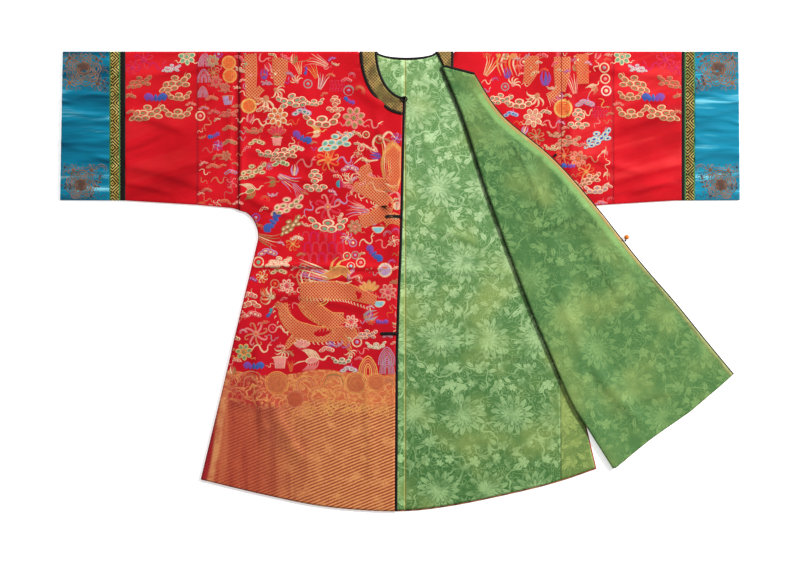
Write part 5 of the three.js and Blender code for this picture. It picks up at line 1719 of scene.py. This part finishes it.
SHOULDER_FIGURES = [
    ("puff", 251, 51, 7, "grey lilac cream"), ("scroll", 261, 57, 8, "pink pink", -40),
    ("flame", 264, 74, 5, "violet blue"), ("puff", 264, 75, 3, "orange red"),
    ("claw", 266, 99, 12, "cream tan", -120), ("claw", 276, 90, 8, "cream tan", -40),
    ("feather", 299, 68, 6, "cream gold", 100), ("bat", 306, 71, 4, "violet blue", 80),
    ("claw", 297, 82, 6, "cream pink", 110), ("ring", 308, 84, 4.5, "grey grey"),
    ("feather", 319, 61, 9, "pink cream", 150), ("feather", 314, 71, 7, "gold orange", 110),
    ("scroll", 325, 66, 6, "pink rose", -30), ("feather", 322, 82, 7, "white grey", 70),
    ("scales", 337, 86, 7, "rose magenta"), ("bat", 349, 101, 6, "violet blue", -30),
    ("roundel", 229, 63, 7, "gold orange"), ("roundel", 230, 76, 7, "gold orange"),
    ("mountain", 205, 60, 6, "lilac grey"), ("mountain", 204, 76, 6, "lilac grey dusk"),
    ("mountain", 203, 92, 5, "grey lilac"), ("flower", 213, 61, 6, "tan green dusk"),
    ("flower", 216, 82, 6, "dusk tan rose"), ("flower", 225, 88, 5, "tan dusk"),
    ("basket", 228, 100, 6, "lilac tan"), ("puff", 212, 98, 6, "tan tan"),
    ("cloud", 229, 114, 8, "tan tan dusk"), ("puff", 214, 112, 6, "dusk tan"),
    ("scroll", 208, 124, 6, "tan dusk", 60), ("puff", 230, 128, 7, "tan tan olive"),
    ("bat", 214, 136, 6, "violet blue", 20), ("puff", 230, 142, 7, "tan dusk olive"),
    ("scroll", 209, 150, 6, "dusk tan"), ("flower", 226, 156, 5, "tan dusk tan"),
    ("puff", 213, 166, 6, "tan tan"), ("puff", 231, 172, 6, "lilac tan"),
    ("scroll", 219, 180, 7, "tan dusk"), ("puff", 207, 190, 5, "tan dusk"),
    ("scroll", 229, 192, 6, "dusk tan", 40), ("puff", 204, 108, 5, "tan lilac"),
]
LEFT_SHOULDER_FIGURES = [
    ("feather", 490, 67, 9, "cream gold", 60), ("flame", 507, 73, 5, "violet blue"),
    ("claw", 513, 85, 7, "cream pink", 60), ("ring", 505, 87, 4, "grey grey"),
    ("flame", 545, 78, 7, "violet blue"), ("puff", 544, 70, 4, "orange red"),
    ("claw", 537, 96, 10, "cream tan", -120), ("feather", 551, 99, 6, "cream pink", -60),
    ("roundel", 563, 108.5, 9, "yellow orange"), ("feather", 573, 84, 9, "pink cream", 100),
    ("cloud", 500, 100, 11, "cream cream green", -6), ("bank", 519, 104, 13, "cream cream olive"),
    ("puff", 511, 114, 7, "lilac sky blue"), ("flower", 533, 118, 9, "cream tan pink"),
    ("scroll", 519, 123, 5, "orange orange"), ("scroll", 551, 124, 8, "pink lilac", -10),
    ("puff", 545, 112, 6, "cream green"), ("puff", 585, 103, 9, "lilac pink grey"),
    ("tower", 578, 121, 11, "cream cream green"), ("scroll", 586, 113, 6, "cream cream"),
    ("bank", 556, 135, 8, "olive pink tan"), ("cloud", 568, 142, 11, "tan pink olive"),
    ("bank", 553, 148, 8, "tan cream olive"), ("curls", 536, 137, 7, "tan olive pink"),
    ("cloud", 598, 139, 13, "sky cream blue", 20), ("bat", 598, 141, 4, "magenta violet"),
    ("flower", 578, 159, 8, "tan pink orange"), ("scroll", 593, 159, 7, "tan cream"),
    ("curls", 564, 156, 7, "tan orange gold"), ("bat", 568, 166, 7, "violet blue"),
    ("curls", 586, 172, 7, "orange gold"), ("cloud", 590, 180, 10, "cream cream olive", 14),
    ("bank", 597, 190, 11, "cream pink grey", 6), ("puff", 601, 203, 6, "pink lilac"),
    ("ring", 604, 68, 5, "cream grey"), ("ring", 605, 79, 5, "cream pink"),
    ("ring", 606, 91, 5, "white cream"),
    ("crane", 594, 88, 8, "cream tan", 40), ("scroll", 596, 66, 5, "cream gold", 70),
    ("scroll", 603, 104, 6, "gold green", -60), ("scales", 599, 112, 7, "rose magenta"),
    ("crane", 605, 152, 5, "cream pink", 70), ("scroll", 607, 164, 5, "cream gold", 80),
    ("crane", 607, 174, 5, "cream tan", 80), ("puff", 607, 186, 5, "cream pink"),
    ("scroll", 597, 123, 5, "pink rose", 60), ("puff", 583, 145, 5, "pink olive"),
    ("feather", 590, 52, 5, "cream pink", 30), ("scroll", 487, 82, 5, "cream pink"),
]
SLEEVE_FIGURES = [
    ("flower", 187, 57, 8, "cream green green"), ("curls", 144, 60, 8, "rose magenta"),
    ("scroll", 158, 66, 8, "magenta rose"), ("curls", 133, 68, 6, "rose magenta"),
    ("cloud", 172, 69, 8, "lilac cream grey"), ("cloud", 140, 83, 11, "tan rose olive", 8),
    ("puff", 130, 96, 6, "tan rose olive"), ("cloud", 176, 84, 14, "straw rose olive", 12),
    ("bank", 179, 97, 11, "straw rose olive"), ("bat", 156, 98, 11, "blue violet"),
    ("cloud", 148, 114, 15, "straw rose olive", 4), ("bank", 178, 114, 13, "straw rose olive"),
    ("puff", 191, 104, 5, "tan pink"), ("puff", 132, 112, 5, "tan rose olive"),
]
SLEEVE_MIRROR_X = 809


def mirrored(figures, mirror_x=SLEEVE_MIRROR_X):
    """The same figures on the other sleeve, each at mirror_x less its photo_x."""
    made = []
    for row in figures:
        angle = row[5] if len(row) > 5 else 0
        flip = row[6] if len(row) > 6 else 1
        made.append((row[0], mirror_x - row[1], *row[2:5], -angle, -flip))
    return made


def fins(photo_path, width, silk_name, count, side=1):
    """A row of short swept points along one side of a dragon's body."""
    path = curve_through(np.stack(photo_to_mm(*np.array(photo_path, float).T), -1), 20)
    places, run = along_curve(path, np.linspace(0.04, 0.96, count))
    beside = np.stack([-run[:, 1], run[:, 0]], -1) * side
    shapes = []
    for place, ahead, out in zip(places, run, beside):
        root = place + out * (width - 1) * PIXEL
        bend = root + out * 1.6 * PIXEL + ahead * 0.6 * PIXEL
        tip = root + out * 2.6 * PIXEL + ahead * 2.4 * PIXEL
        shapes.append(stroke([root, bend, tip], 0.8 * PIXEL, [silk_name], (1, 0.8, 0.2), layer=3))
    return shapes


def belly(photo_path, width, silk_name, count, side=1):
    """Short bars across one side of a dragon's body, as the plates of its belly."""
    path = curve_through(np.stack(photo_to_mm(*np.array(photo_path, float).T), -1), 20)
    places, run = along_curve(path, np.linspace(0.03, 0.97, count))
    beside = np.stack([-run[:, 1], run[:, 0]], -1) * side
    shapes = []
    for place, ahead, out in zip(places, run, beside):
        start = place + out * width * 0.25 * PIXEL - ahead * PIXEL
        bar = [start, place + out * width * 0.6 * PIXEL, place + out * width * 0.86 * PIXEL - ahead * PIXEL]
        shapes.append(stroke(bar, 0.55 * PIXEL, [silk_name], (0.5, 1, 0.6), layer=3))
    return shapes


# Claws, feathers, flames, eyes and flower of the chest's dragon and of the skirt's
CHEST_DRAGON_FIGURES = [
    ("flame", 375, 156, 5, "violet blue", 80), ("claw", 351, 182, 8, "cream tan", 110),
    ("claw", 345, 177, 4, "cream tan", 60), ("ring", 361, 148, 3.4, "cream rose"),
    ("feather", 370, 175, 5, "cream grey", 120), ("ring", 398, 164, 2.2, "cream black"),
    ("ring", 397, 206, 4, "cream pink"), ("feather", 358, 206, 6, "pink cream", 165),
]
SKIRT_DRAGON_FIGURES = [
    ("claw", 272, 297, 9.5, "cream cream", 160), ("claw", 283, 350, 7.5, "cream tan", -110),
    ("claw", 350, 351, 6, "cream tan", -70), ("flame", 371, 315, 7, "grey tan", -70),
    ("claw", 284, 289, 4.5, "cream pink", 120), ("ring", 344, 270, 2.2, "cream black"),
    ("lotus", 338, 334, 5, "gold yellow olive", 160), ("ring", 340, 316, 3, "cream green"),
]


def chest_dragon():
    """Dragon of the chest: its head at the front edge, its mane, and its looped body of gold scales."""
    neck = [(398, 186), (384, 184), (372, 183), (364, 178), (364, 171), (371, 168)]
    lower = [(354, 184), (364, 191), (378, 196), (386, 206), (377, 216), (360, 222)]
    head = [(382, 150), (380, 166), (383, 182), (390, 192), (398, 193), (403, 180), (403, 146), (394, 138)]
    head = np.stack(photo_to_mm(*np.array(head, float).T), -1)
    shapes = [
        limb([(384, 222), (392, 218), (402, 222)], 6, "orange gold", (0.8, 1, 0.8), 1.0),
        limb(lower, 8.5, "orange gold", (0.4, 1, 0.7), 1.0, 1),
        limb(neck, 6.5, "orange gold", (1, 0.9, 0.7), 1.0, 2),
        patch(head, ["gold", "orange"], head.mean(0), 0.6, 2),
        limb([(378, 152), (373, 144), (377, 136), (383, 139)], 1.5, "cream", (0.3, 1, 0.5), layer=3),
        limb([(386, 148), (383, 138), (389, 132), (395, 138)], 1.5, "cream", (0.3, 1, 0.5), layer=3),
        limb([(359, 150), (362, 144), (367, 147), (376, 152)], 1.3, "cream", (0.4, 1, 0.6), layer=3),
        limb([(354, 164), (362, 158), (368, 161), (378, 160)], 1.3, "cream", (0.3, 1, 0.6), layer=3),
        limb([(362, 155), (368, 166), (366, 172)], 1.2, "pink", (0.3, 1, 0.6), layer=3),
        limb([(366, 186), (372, 182), (376, 190), (386, 192)], 1.3, "cream", (0.3, 1, 0.4), layer=4),
        limb([(388, 196), (396, 192), (400, 200), (396, 208)], 1.3, "pink", (0.4, 1, 0.4), layer=4),
        limb([(384, 182), (390, 186), (398, 185)], 0.9, "cream", (0.4, 1, 0.4), layer=5),
        limb([(386, 170), (391, 173), (397, 171)], 0.8, "tan", (0.4, 1, 0.4), layer=5),
    ]
    shapes += fins(lower, 8.5, "cream", 15, -1) + belly(lower, 8.5, "tan", 18)
    shapes += fins(neck, 6.5, "pink", 12, -1)
    for number in range(9):
        start = 381.5 + number * 2.1
        strand = [(start, 142 + number * 0.4), (start + 1.6, 152), (start + 0.6, 164), (start + 1.8, 176)]
        shapes.append(limb(strand, 0.5, ("yellow", "cream", "tan")[number % 3], (0.4, 1, 0.4), layer=4))
    return shapes + all_figures(CHEST_DRAGON_FIGURES)


def skirt_dragon():
    """Dragon of the skirt: a gold head and mane over a close coil of scaled body, with clawed feet."""
    upper = [(300, 291), (318, 290), (344, 291), (362, 296), (376, 301)]
    middle = [(308, 296), (314, 308), (328, 319), (346, 327), (354, 338)]
    lower = [(283, 303), (285, 316), (296, 328), (316, 334), (344, 333)]
    shapes = [
        limb([(304, 300), (310, 310), (324, 318), (344, 318)], 8, "orange gold", (1, 1, 0.7), 1.0),
        limb(lower, 9, "orange gold", (0.5, 1, 0.8), 1.0, 1),
        limb([(276, 303), (283, 310), (288, 320)], 4.5, "orange gold", (0.6, 1, 1), 1.0, 2),
        limb([(300, 332), (292, 340), (286, 348)], 4, "orange gold", (1, 1, 0.6), 1.0),
        limb([(340, 334), (346, 342), (350, 350)], 4, "orange gold", (1, 1, 0.6), 1.0),
        limb(middle, 8.5, "orange gold", (0.9, 1, 0.6), 1.0, 2),
        limb(upper, 9.5, "orange gold", (0.9, 1, 0.5), 1.0, 3),
        limb([(322, 278), (332, 274), (342, 270), (349, 276)], 5.5, "gold yellow", (0.6, 1, 0.6), 0.4, 5),
        limb([(334, 272), (340, 262), (347, 260)], 1.5, "yellow", (1, 0.8, 0.2), layer=6),
        limb([(330, 272), (333, 262), (339, 257)], 1.4, "gold", (1, 0.8, 0.2), layer=6),
        limb([(336, 281), (344, 284), (352, 281)], 1.2, "cream", (0.4, 1, 0.4), layer=6),
        limb([(350, 279), (358, 276), (360, 282), (366, 284)], 1.1, "pink", (0.6, 1, 0.4), layer=5),
    ]
    shapes += fins(upper, 9.5, "cream", 22, -1) + belly(upper, 9, "tan", 24)
    shapes += fins(lower, 9, "cream", 20, -1) + belly(lower, 8.5, "tan", 22)
    shapes += fins(middle, 8.5, "yellow", 14, -1)
    turn = np.linspace(-0.2, 3.6, 7)
    for share in (1.0, 0.72):
        arc = np.stack([318 + 11 * share * np.cos(turn), 298 + 8 * share * np.sin(turn)], -1)
        shapes.append(limb(arc, 0.6, "yellow", (0.6, 1, 0.6), layer=6))
    for number in range(7):
        drop = number * 2.6
        strand = [
            (329, 272 + drop * 0.8), (319, 267 + drop), (309, 263 + drop * 1.1), (299, 259 + drop * 1.3),
        ]
        shapes.append(limb(strand, 0.9, ("cream", "pink", "lilac")[number % 3], (1, 0.9, 0.15), layer=5))
    for number in range(5):
        strand = [(300 + 4 * number, 286), (297 + 4 * number, 276), (302 + 4 * number, 267)]
        shapes.append(limb(strand, 0.9, ("tan", "cream")[number % 2], (1, 0.9, 0.15), layer=4))
    return shapes + all_figures(SKIRT_DRAGON_FIGURES)


def shoulder_dragons():
    """Parts of the shoulders' dragons on this side of the shoulder line: columns and bands of body."""
    return [
        limb([(250, 50), (251, 66), (251, 82), (251, 98)], 6.5, "orange tan", (1, 1, 0.8), 1.0),
        limb([(268, 57), (286, 56), (302, 57), (312, 54)], 6.5, "orange tan", (0.7, 1, 0.7), 1.0),
        limb([(280, 58), (280, 70), (279, 86)], 8, "orange tan", (1, 1, 0.6), 1.0, 1),
        limb([(262, 88), (256, 96), (262, 104)], 4, "orange tan", mesh=1.0),
    ]


def left_shoulder_dragons():
    """The same on the wearer's left: head and mane by the turned front, then body and column."""
    shapes = [
        limb([(512, 52), (528, 56), (542, 52)], 7, "orange tan", (0.7, 1, 0.8), 1.0),
        limb([(531, 56), (531, 70), (526, 84)], 7.5, "orange tan", (1, 1, 0.5), 1.0, 1),
        limb([(562, 52), (562, 70), (560, 92)], 8.5, "orange tan", (1, 1, 0.6), 1.0, 1),
        limb([(582, 50), (582, 66), (583, 84)], 6.5, "orange orange", (1, 1, 0.9), 0.7, 1),
        limb([(548, 98), (556, 92), (562, 84)], 4, "orange tan", mesh=1.0),
        limb([(496, 56), (506, 54), (516, 58)], 4.5, "gold orange", (0.5, 1, 0.8), 0.5, 2),
    ]
    for number in range(6):
        strand = [(500 + 4 * number, 54), (497 + 4 * number, 64), (501 + 4 * number, 76)]
        shapes.append(limb(strand, 1.2, ("gold", "cream", "orange")[number % 3], (1, 0.9, 0.15), layer=3))
    return shapes + figure("ring", 515, 57, 2.2, "cream black")


CUFF_FIGURES = [
    ("peony", 84, 69, 14, "brown bronze umber"), ("sprig", 101, 58, 7, "brown umber", 30),
    ("curls", 70, 58, 6, "brown umber"), ("sprig", 102, 80, 7, "bronze deep", -50),
    ("curls", 70, 83, 6, "bronze brown"), ("curls", 98, 84, 6, "brown umber"),
    ("peony", 81, 185, 12, "brown bronze umber"), ("curls", 74, 170, 5, "brown bronze"),
    ("curls", 92, 170, 5, "brown bronze"), ("sprig", 98, 184, 6, "brown umber", 50),
    ("sprig", 68, 186, 6, "bronze deep", 150),
]
CUFF_MIRROR_X = 802


# Small figures that fill the ground between the others, and their silks
FILLERS = ("puff", "scroll", "ring", "puff", "bank", "curls", "puff", "cloud", "flame", "scroll", "crest")
FILLER_SILKS = (
    "cream pink", "pink rose", "tan olive", "cream tan olive", "lilac cream", "pink cream", "cream green",
    "grey lilac", "tan orange", "cream rose", "violet lilac", "olive tan",
)
FILLER_TRIES = 2600
FILLER_SIZES = (3.2, 5.6)
FILLER_TURN = 30
FOAM = ("crest", "scroll", "crest")
FOAM_SILKS = ("gold yellow", "gold tan", "tan gold", "yellow gold")
COUCHED = ("crest", "scroll", "curls", "crest")
COUCHED_SILKS = ("brown umber", "deep bronze", "umber deep", "bronze brown")


def filled(rows, area, gap, seed, plain=(), kinds=FILLERS, silks=FILLER_SILKS):
    """A table with small figures put wherever none is near, inside an area of the photograph given as
    left, top, right and bottom. plain lists areas left empty, each a place and a radius."""
    chance = np.random.default_rng(seed)
    left, top, right, bottom = area
    taken = [(row[1], row[2], row[3] * 1.05) for row in rows] + list(plain)
    added = []
    for photo_x, photo_y in chance.uniform((left, top), (right, bottom), (FILLER_TRIES, 2)):
        size = chance.uniform(*FILLER_SIZES)
        taken_x, taken_y, radius = np.array(taken).reshape(-1, 3).T
        if (np.hypot(taken_x - photo_x, taken_y - photo_y) > radius + size * 0.8 + gap).all():
            kind, silk_names = kinds[len(added) % len(kinds)], silks[len(added) % len(silks)]
            angle, flip = chance.uniform(-FILLER_TURN, FILLER_TURN), chance.choice((-1, 1))
            added.append((kind, photo_x, photo_y, size, silk_names, angle, flip))
            taken.append((photo_x, photo_y, size))
    return added + rows


def all_figures(rows):
    """Shapes of every figure in a table."""
    return [shape for row in rows for shape in figure(*row)]


# Shapes that follow one another lie this much higher each, over and over in runs of this many, so
# that few that cross lie at one height
NUDGE = 0.004
NUDGED_RUN = 12


def lay_on(name, shapes, height, low_x, high_x, keep, slot, ground):
    """The shapes that lie on one cloth, as one mesh over its face: cut off at low_x and high_x, and
    left out where keep is false. height is the cloth's face. Sunk edges are tinged with the ground's
    silk, and later shapes lie a little higher."""
    tinge = np.array(dye(ground))
    points, colours, faces, count = [], [], [], 0
    for number, (xy, rise, colour, triangles) in enumerate(shapes):
        x, y = xy.T
        low, high = low_x(y), high_x(y)
        inside = (x > low) & (x < high)
        if not inside.any():
            continue
        shown = inside[triangles].any(1) & keep(x, y)[triangles].all(1)
        x = np.clip(x, low, high)
        points.append(np.stack([x, y, height(x, y) + rise + NUDGE * (number % NUDGED_RUN)], -1))
        colours.append(np.where(rise[:, None] < 0, lerp(colour, tinge, EDGE_TINGE), colour))
        faces.append(triangles[shown] + count)
        count += len(x)
    points, faces = np.concatenate(points), np.concatenate(faces)
    used, faces = np.unique(faces, return_inverse=True)
    faces = faces.reshape(-1, 3)
    piece = make_mesh(name, points[used], faces, WORKED, None, np.concatenate(colours)[used])
    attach(piece, "root")
    return piece


def on_sleeve(x, y):
    """Where a flattened sleeve's face is, a little inside its two rounded edges."""
    return (y > read(SLEEVE_BOTTOM, np.abs(x)) + 2) & (y < SHOULDER_Y - 3)


def outside_collar(x, y):
    """Where the front is clear of the collar's bands and a little below the shoulder."""
    across = (x - NECK_X) / (NECK_HALF_WIDTH + BACK_NECK_OFFSET + 3)
    down = (y - SHOULDER_Y) / (NECK_FRONT_DEPTH + BACK_NECK_OFFSET + 3)
    return (across**2 + down**2 > 1) & (y < SHOULDER_Y - 4)


def on_right_front(x, y):
    """Where the right front shows, above its hem."""
    return outside_collar(x, y) & (y > hem_y(x) + 2)


def on_left_shoulder(x, y):
    """Where the left front shows beyond its turned edge."""
    edge_x, edge_y = np.array(TURNED_EDGE[::-1], float).T
    return outside_collar(x, y) & (x > np.interp(y, edge_y, edge_x) - 12) & (y > UNDERARM_Y)


def face_of_front(x, y):
    """Upper face of the right front."""
    return front_height(x, y) + FRONT_CLOTH / 2


def face_of_sleeve(lift):
    """Upper face of a flattened sleeve whose folds are lift."""
    def height(x, y):
        margin = FRONT_TOP_Z / 2
        low = read(SLEEVE_BOTTOM, np.abs(x)) + margin
        still = smoothstep(y - low, 0, 20) * smoothstep(SHOULDER_Y - margin - y, 0, 20)
        return FRONT_TOP_Z + still * lift(np.abs(x), y)
    return height


def stretch_of(sign, inner, outer):
    """The two limits in x of a stretch of sleeve between two distances from the middle."""
    low, high = sorted((sign * (inner + 0.6), sign * (outer - 0.6)))
    return (lambda y: low + 0 * y), (lambda y: high + 0 * y)


def cuff_outer(sign, sleeve):
    """The limits in x of a cuff, whose outer end slants."""
    def outer(y):
        share = np.clip((y - SLEEVE_BOTTOM[-1][1]) / (SHOULDER_Y - SLEEVE_BOTTOM[-1][1]), 0, 1)
        return sign * (lerp(sleeve["bottom"], sleeve["top"], share) - 2)
    inner = sign * (sleeve["cuff"] + 1)
    ends = (lambda y: inner + 0 * y), outer
    return ends if sign > 0 else ends[::-1]


def nearest(points, curve):
    """Distance on the flat from each point to the nearest point of a curve, and that point's share."""
    gaps = np.full(len(points), np.inf)
    shares = np.zeros(len(points))
    for number, (x, y) in enumerate(curve):
        gap = np.hypot(points[:, 0] - x, points[:, 1] - y)
        shares = np.where(gap < gaps, number / len(curve), shares)
        gaps = np.minimum(gap, gaps)
    return gaps, shares


def turned_marks(points):
    """Marks of the turned lining: paler beside its upper edge, with a tan line along the edge that is
    fullest there.
    """
    gaps, shares = nearest(points, curve_through(TURNED_EDGE, 40))
    upper = smoothstep(shares, 0.62, 0.5) * smoothstep(shares, 0.02, 0.1)
    paler = smoothstep(gaps, 24, 14) * upper
    tan = smoothstep(gaps, 8, 5) * (0.35 + 0.65 * upper)
    return np.stack([paler, tan, 0 * gaps, 0 * gaps], -1)


def painted_fold_shadow(points):
    """Painted shadow on the back lining: the deep shade close under the turned front's fold, darkened into
    its colour.
    """
    gaps, shares = nearest(points, curve_through(FOLD_LINE, 40))
    reach = lerp(11, 5, smoothstep(shares, 0.05, 0.5))
    shadow = smoothstep(gaps, reach, 0.35 * reach)
    return np.stack([0 * gaps, 0 * gaps, 0.92 * shadow, 0 * gaps], -1)


# The least width given to a sheet's flat cut
NARROWEST = 10


def add_cloth(name, made, material, flat, area=None, marks=None):
    """Adds a cloth piece in place of the solid of its name."""
    points, faces, is_rim = made
    piece = make_mesh(name + "_cloth", points, faces, material, is_rim, marks and marks(points))
    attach(piece, "root")
    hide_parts(name)
    width, length = max(flat[0], NARROWEST) * MM, flat[1] * MM
    if flat[0] < NARROWEST:
        area = flat[0] * flat[1] * MM**2
    return piece


def add_trim(name, made, material):
    """Adds a cord, knot or button in place of the solid of its name."""
    points, faces, is_rim = made
    piece = make_mesh(name + "_trim", points, faces, material, is_rim)
    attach(piece, "root")
    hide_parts(name)
    return piece


# Areas of the photograph that small figures fill, as left, top, right and bottom
FRONT_AREA = (200, 54, 398, 371)
LEFT_SHOULDER_AREA = (484, 54, 610, 205)
FOAM_AREA = (290, 378, 397, 415)
LEFT_FOAM_AREA = (215, 378, 300, 402)
UPPER_CUFF_AREA = (64, 53, 107, 90)
LOWER_CUFF_AREA = (64, 166, 103, 198)
# Ground kept plain by the collar, and where the dragons lie
PLAIN_FRONT = [(372, 62, 22), (392, 104, 30), (352, 60, 12)]
DRAGONS = [
    (392, 164, 20), (372, 176, 9), (376, 204, 13), (330, 292, 24), (298, 316, 18), (350, 300, 20),
    (326, 326, 17),
]
FOAM_FIGURES = filled([], FOAM_AREA, -1.6, 5, (), FOAM, FOAM_SILKS)
FOAM_FIGURES += filled([], LEFT_FOAM_AREA, 0.5, 6, (), FOAM, ("tan rust", "gold tan"))
WORKED_CUFF = filled(CUFF_FIGURES, UPPER_CUFF_AREA, -1.6, 3, (), COUCHED, COUCHED_SILKS)
WORKED_CUFF = filled(WORKED_CUFF, LOWER_CUFF_AREA, -1.6, 4, (), COUCHED, COUCHED_SILKS)
FRONT_FIGURES = HEM_FIGURES + SKIRT_FIGURES + CHEST_FIGURES + SHOULDER_FIGURES
FRONT_FIGURES = filled(FRONT_FIGURES, FRONT_AREA, -1.0, 7, PLAIN_FRONT + DRAGONS)
RIGHT_SHAPES = all_figures(FOAM_FIGURES + FRONT_FIGURES + SLEEVE_FIGURES)
RIGHT_SHAPES += skirt_dragon() + chest_dragon() + shoulder_dragons()
LEFT_FIGURES = filled(LEFT_SHOULDER_FIGURES, LEFT_SHOULDER_AREA, -0.4, 11) + mirrored(SLEEVE_FIGURES)
LEFT_SHAPES = all_figures(LEFT_FIGURES) + left_shoulder_dragons()
CUFF_SHAPES = {"right": all_figures(WORKED_CUFF), "left": all_figures(mirrored(WORKED_CUFF, CUFF_MIRROR_X))}
lay_on(
    "body_right_figures", RIGHT_SHAPES, face_of_front, lambda y: 1.5 - side_half_width(y),
    lambda y: front_edge_x(y) - 0.5, on_right_front, "brocade", "red",
)
lay_on(
    "body_left_figures", LEFT_SHAPES, flat_at(FRONT_TOP_Z), lambda y: 60 + 0 * y,
    lambda y: ARMHOLE_X - 1 + 0 * y, on_left_shoulder, "brocade", "red",
)
add_cloth("body_right", right_body(), RED, (470, 2110), 0.84)
add_cloth("body_left", left_body(), RED, (470, 2110), 0.84)
for side, made, width, area in (
    ("right", back_lining(-1, 9, 8), 467, 0.4),
    ("left", back_lining(1, 61, 36), 357, 0.36),
):
    rests_on = "body_%s_cloth" % side
    name = "lining_back_" + side
    # The back lining gets the painted shadow under the turned front's fold.
    add_cloth(name, made, BACK_GREEN, (width, 1050), area, marks=painted_fold_shadow)
add_cloth("lining_gore", lining_gore(), GORE_GREEN, (90, 330), 0.015)
TURNED_LINING = wall([turned_lining_grid()])
add_cloth(
    "lining_front_left", TURNED_LINING, FLAP_GREEN, (440, 1010), 0.25,
    marks=turned_marks,
)

for side, sleeve in SLEEVES.items():
    sign, join, binding = sleeve["sign"], sleeve["join"], sleeve["binding"]
    ribbon, cuff, top, bottom = sleeve["ribbon"], sleeve["cuff"], sleeve["top"], sleeve["bottom"]
    shapes = RIGHT_SHAPES if sign < 0 else LEFT_SHAPES
    cuff_limits = cuff_outer(sign, sleeve)
    stretches = [
        ("sleeve_%s_upper", ARMHOLE_X, join, join, 22, sleeve_lift, RED, "brocade", shapes),
        ("sleeve_%s_lower", join, binding, binding, 36, sleeve_lift, RED, "brocade", shapes),
        ("sleeve_%s_binding", binding, ribbon, ribbon, 4, None, BLACK, "black_silk", None),
        ("sleeve_%s_ribbon", ribbon, cuff, cuff, 8, None, FRET, "fret_ribbon", None),
        ("cuff_%s", cuff, top, bottom, 34, cuff_lift, TURQUOISE, "satin", CUFF_SHAPES[side]),
    ]
    for name, start, end_top, end_bottom, steps, lift, material, slot, figures in stretches:
        over_steps = 200 if slot == "satin" else 84
        ring_of_cloth = sleeve_ring(sign, start, end_top, end_bottom, steps, lift, over_steps)
        width = (end_top + end_bottom) / 2 - start
        laid = []
        if figures:
            laid = [name % side + "_figures"]
            limits = cuff_limits if slot == "satin" else stretch_of(sign, start, end_top)
            ground = "teal" if slot == "satin" else "red"
            lay_on(laid[0], figures, face_of_sleeve(lift), *limits, on_sleeve, slot, ground)
        add_cloth(name % side, ring_of_cloth, material, (width, 700))

for name, band in BANDS.items():
    flat_band = name == "collar"
    across = np.linspace(0, 1, 12) if flat_band else ROUND_ACROSS
    profile = np.ones(12) if flat_band else ROUND_CLOTH
    length = 420 + 2.5 * band["outer"]
    material, slot = (COLLAR, "collar_brocade") if flat_band else (BLACK, "black_silk")
    width = band["outer"] - band["inner"]
    add_cloth(name, neck_band(band, across, profile), material, (width, length))
add_trim("neck_piping_left", edge_strip(TURNED_PART[0], TURNED_PIPING_WIDTH), BLACK)
add_trim("front_binding_right", right_binding(), BLACK)
add_trim("front_binding_left", edge_strip(TURNED_PART[:, -1], TURNED_BINDING_WIDTH), BLACK)
for name, loop in LOOPS.items():
    add_trim(name, loop_strip(**loop), BLACK)
add_trim("loop_neck", neck_loop(), BLACK)
add_trim("knot_chest", knot(**KNOT), BLACK)
add_trim("button_stem", knot(**STEM), BLACK)
add_trim("button_ball", ball_button(), GILT)


# The floor's half width and level, and in metres the width that the picture spans and its middle's y
FLOOR_REACH = 6000
FLOOR_Z = -0.3
VIEW_WIDTH = 1.84
VIEW_Y = -0.00805
WHITE = (1, 1, 1, 1)


def add_floor():
    """A plain pale floor just under the robe, which glows a little so that it stays pale."""
    corners = np.array([(-1, -1), (1, -1), (1, 1), (-1, 1)]) * FLOOR_REACH
    points = np.column_stack([corners, np.full(4, FLOOR_Z)])
    material, tree, place = new_material("pale_floor")
    colour = mixed(tree, noise(tree, place, 3), srgb(250, 250, 250), srgb(254, 254, 254))
    glow = dict(emission_color=WHITE, emission_strength=0.5)
    finish_material(tree, colour, 0.0, 0.0001, 0.0, roughness=0.9, **glow)
    floor = make_mesh("floor", points, np.array([[0, 1, 2], [0, 2, 3]]), material)


def add_light(name, place, size, power):
    """A soft square light at a place in metres, facing the robe."""
    lamp = bpy.data.lights.new(name, "AREA")
    lamp.size = size
    lamp.energy = power
    made = bpy.data.objects.new(name, lamp)
    made.location = place
    x, y, z = place
    made.rotation_euler = (np.arctan2(np.hypot(x, y), z), 0, np.arctan2(x, -y))
    bpy.context.scene.collection.objects.link(made)


def add_camera():
    """A camera straight above, whose frame is VIEW_WIDTH across at the table."""
    lens = bpy.data.cameras.new("camera")
    lens.lens = 100
    lens.sensor_width = 36
    made = bpy.data.objects.new("camera", lens)
    distance = VIEW_WIDTH * lens.lens / lens.sensor_width
    made.location = (0, VIEW_Y, distance)
    bpy.context.scene.collection.objects.link(made)
    bpy.context.scene.camera = made


def add_sky(strength):
    """An even white light from all round."""
    world = bpy.data.worlds.new("studio")
    world.use_nodes = True
    sky = world.node_tree.nodes["Background"]
    sky.inputs["Color"].default_value = WHITE
    sky.inputs["Strength"].default_value = strength
    bpy.context.scene.world = world


add_floor()
add_light("key", (4.2, 2.4, 3.2), 0.7, 400)
add_light("fill", (-1.4, 4.6, 2.0), 0.9, 130)
add_sky(0.2)
bpy.context.scene.view_settings.view_transform = "Standard"
add_camera()
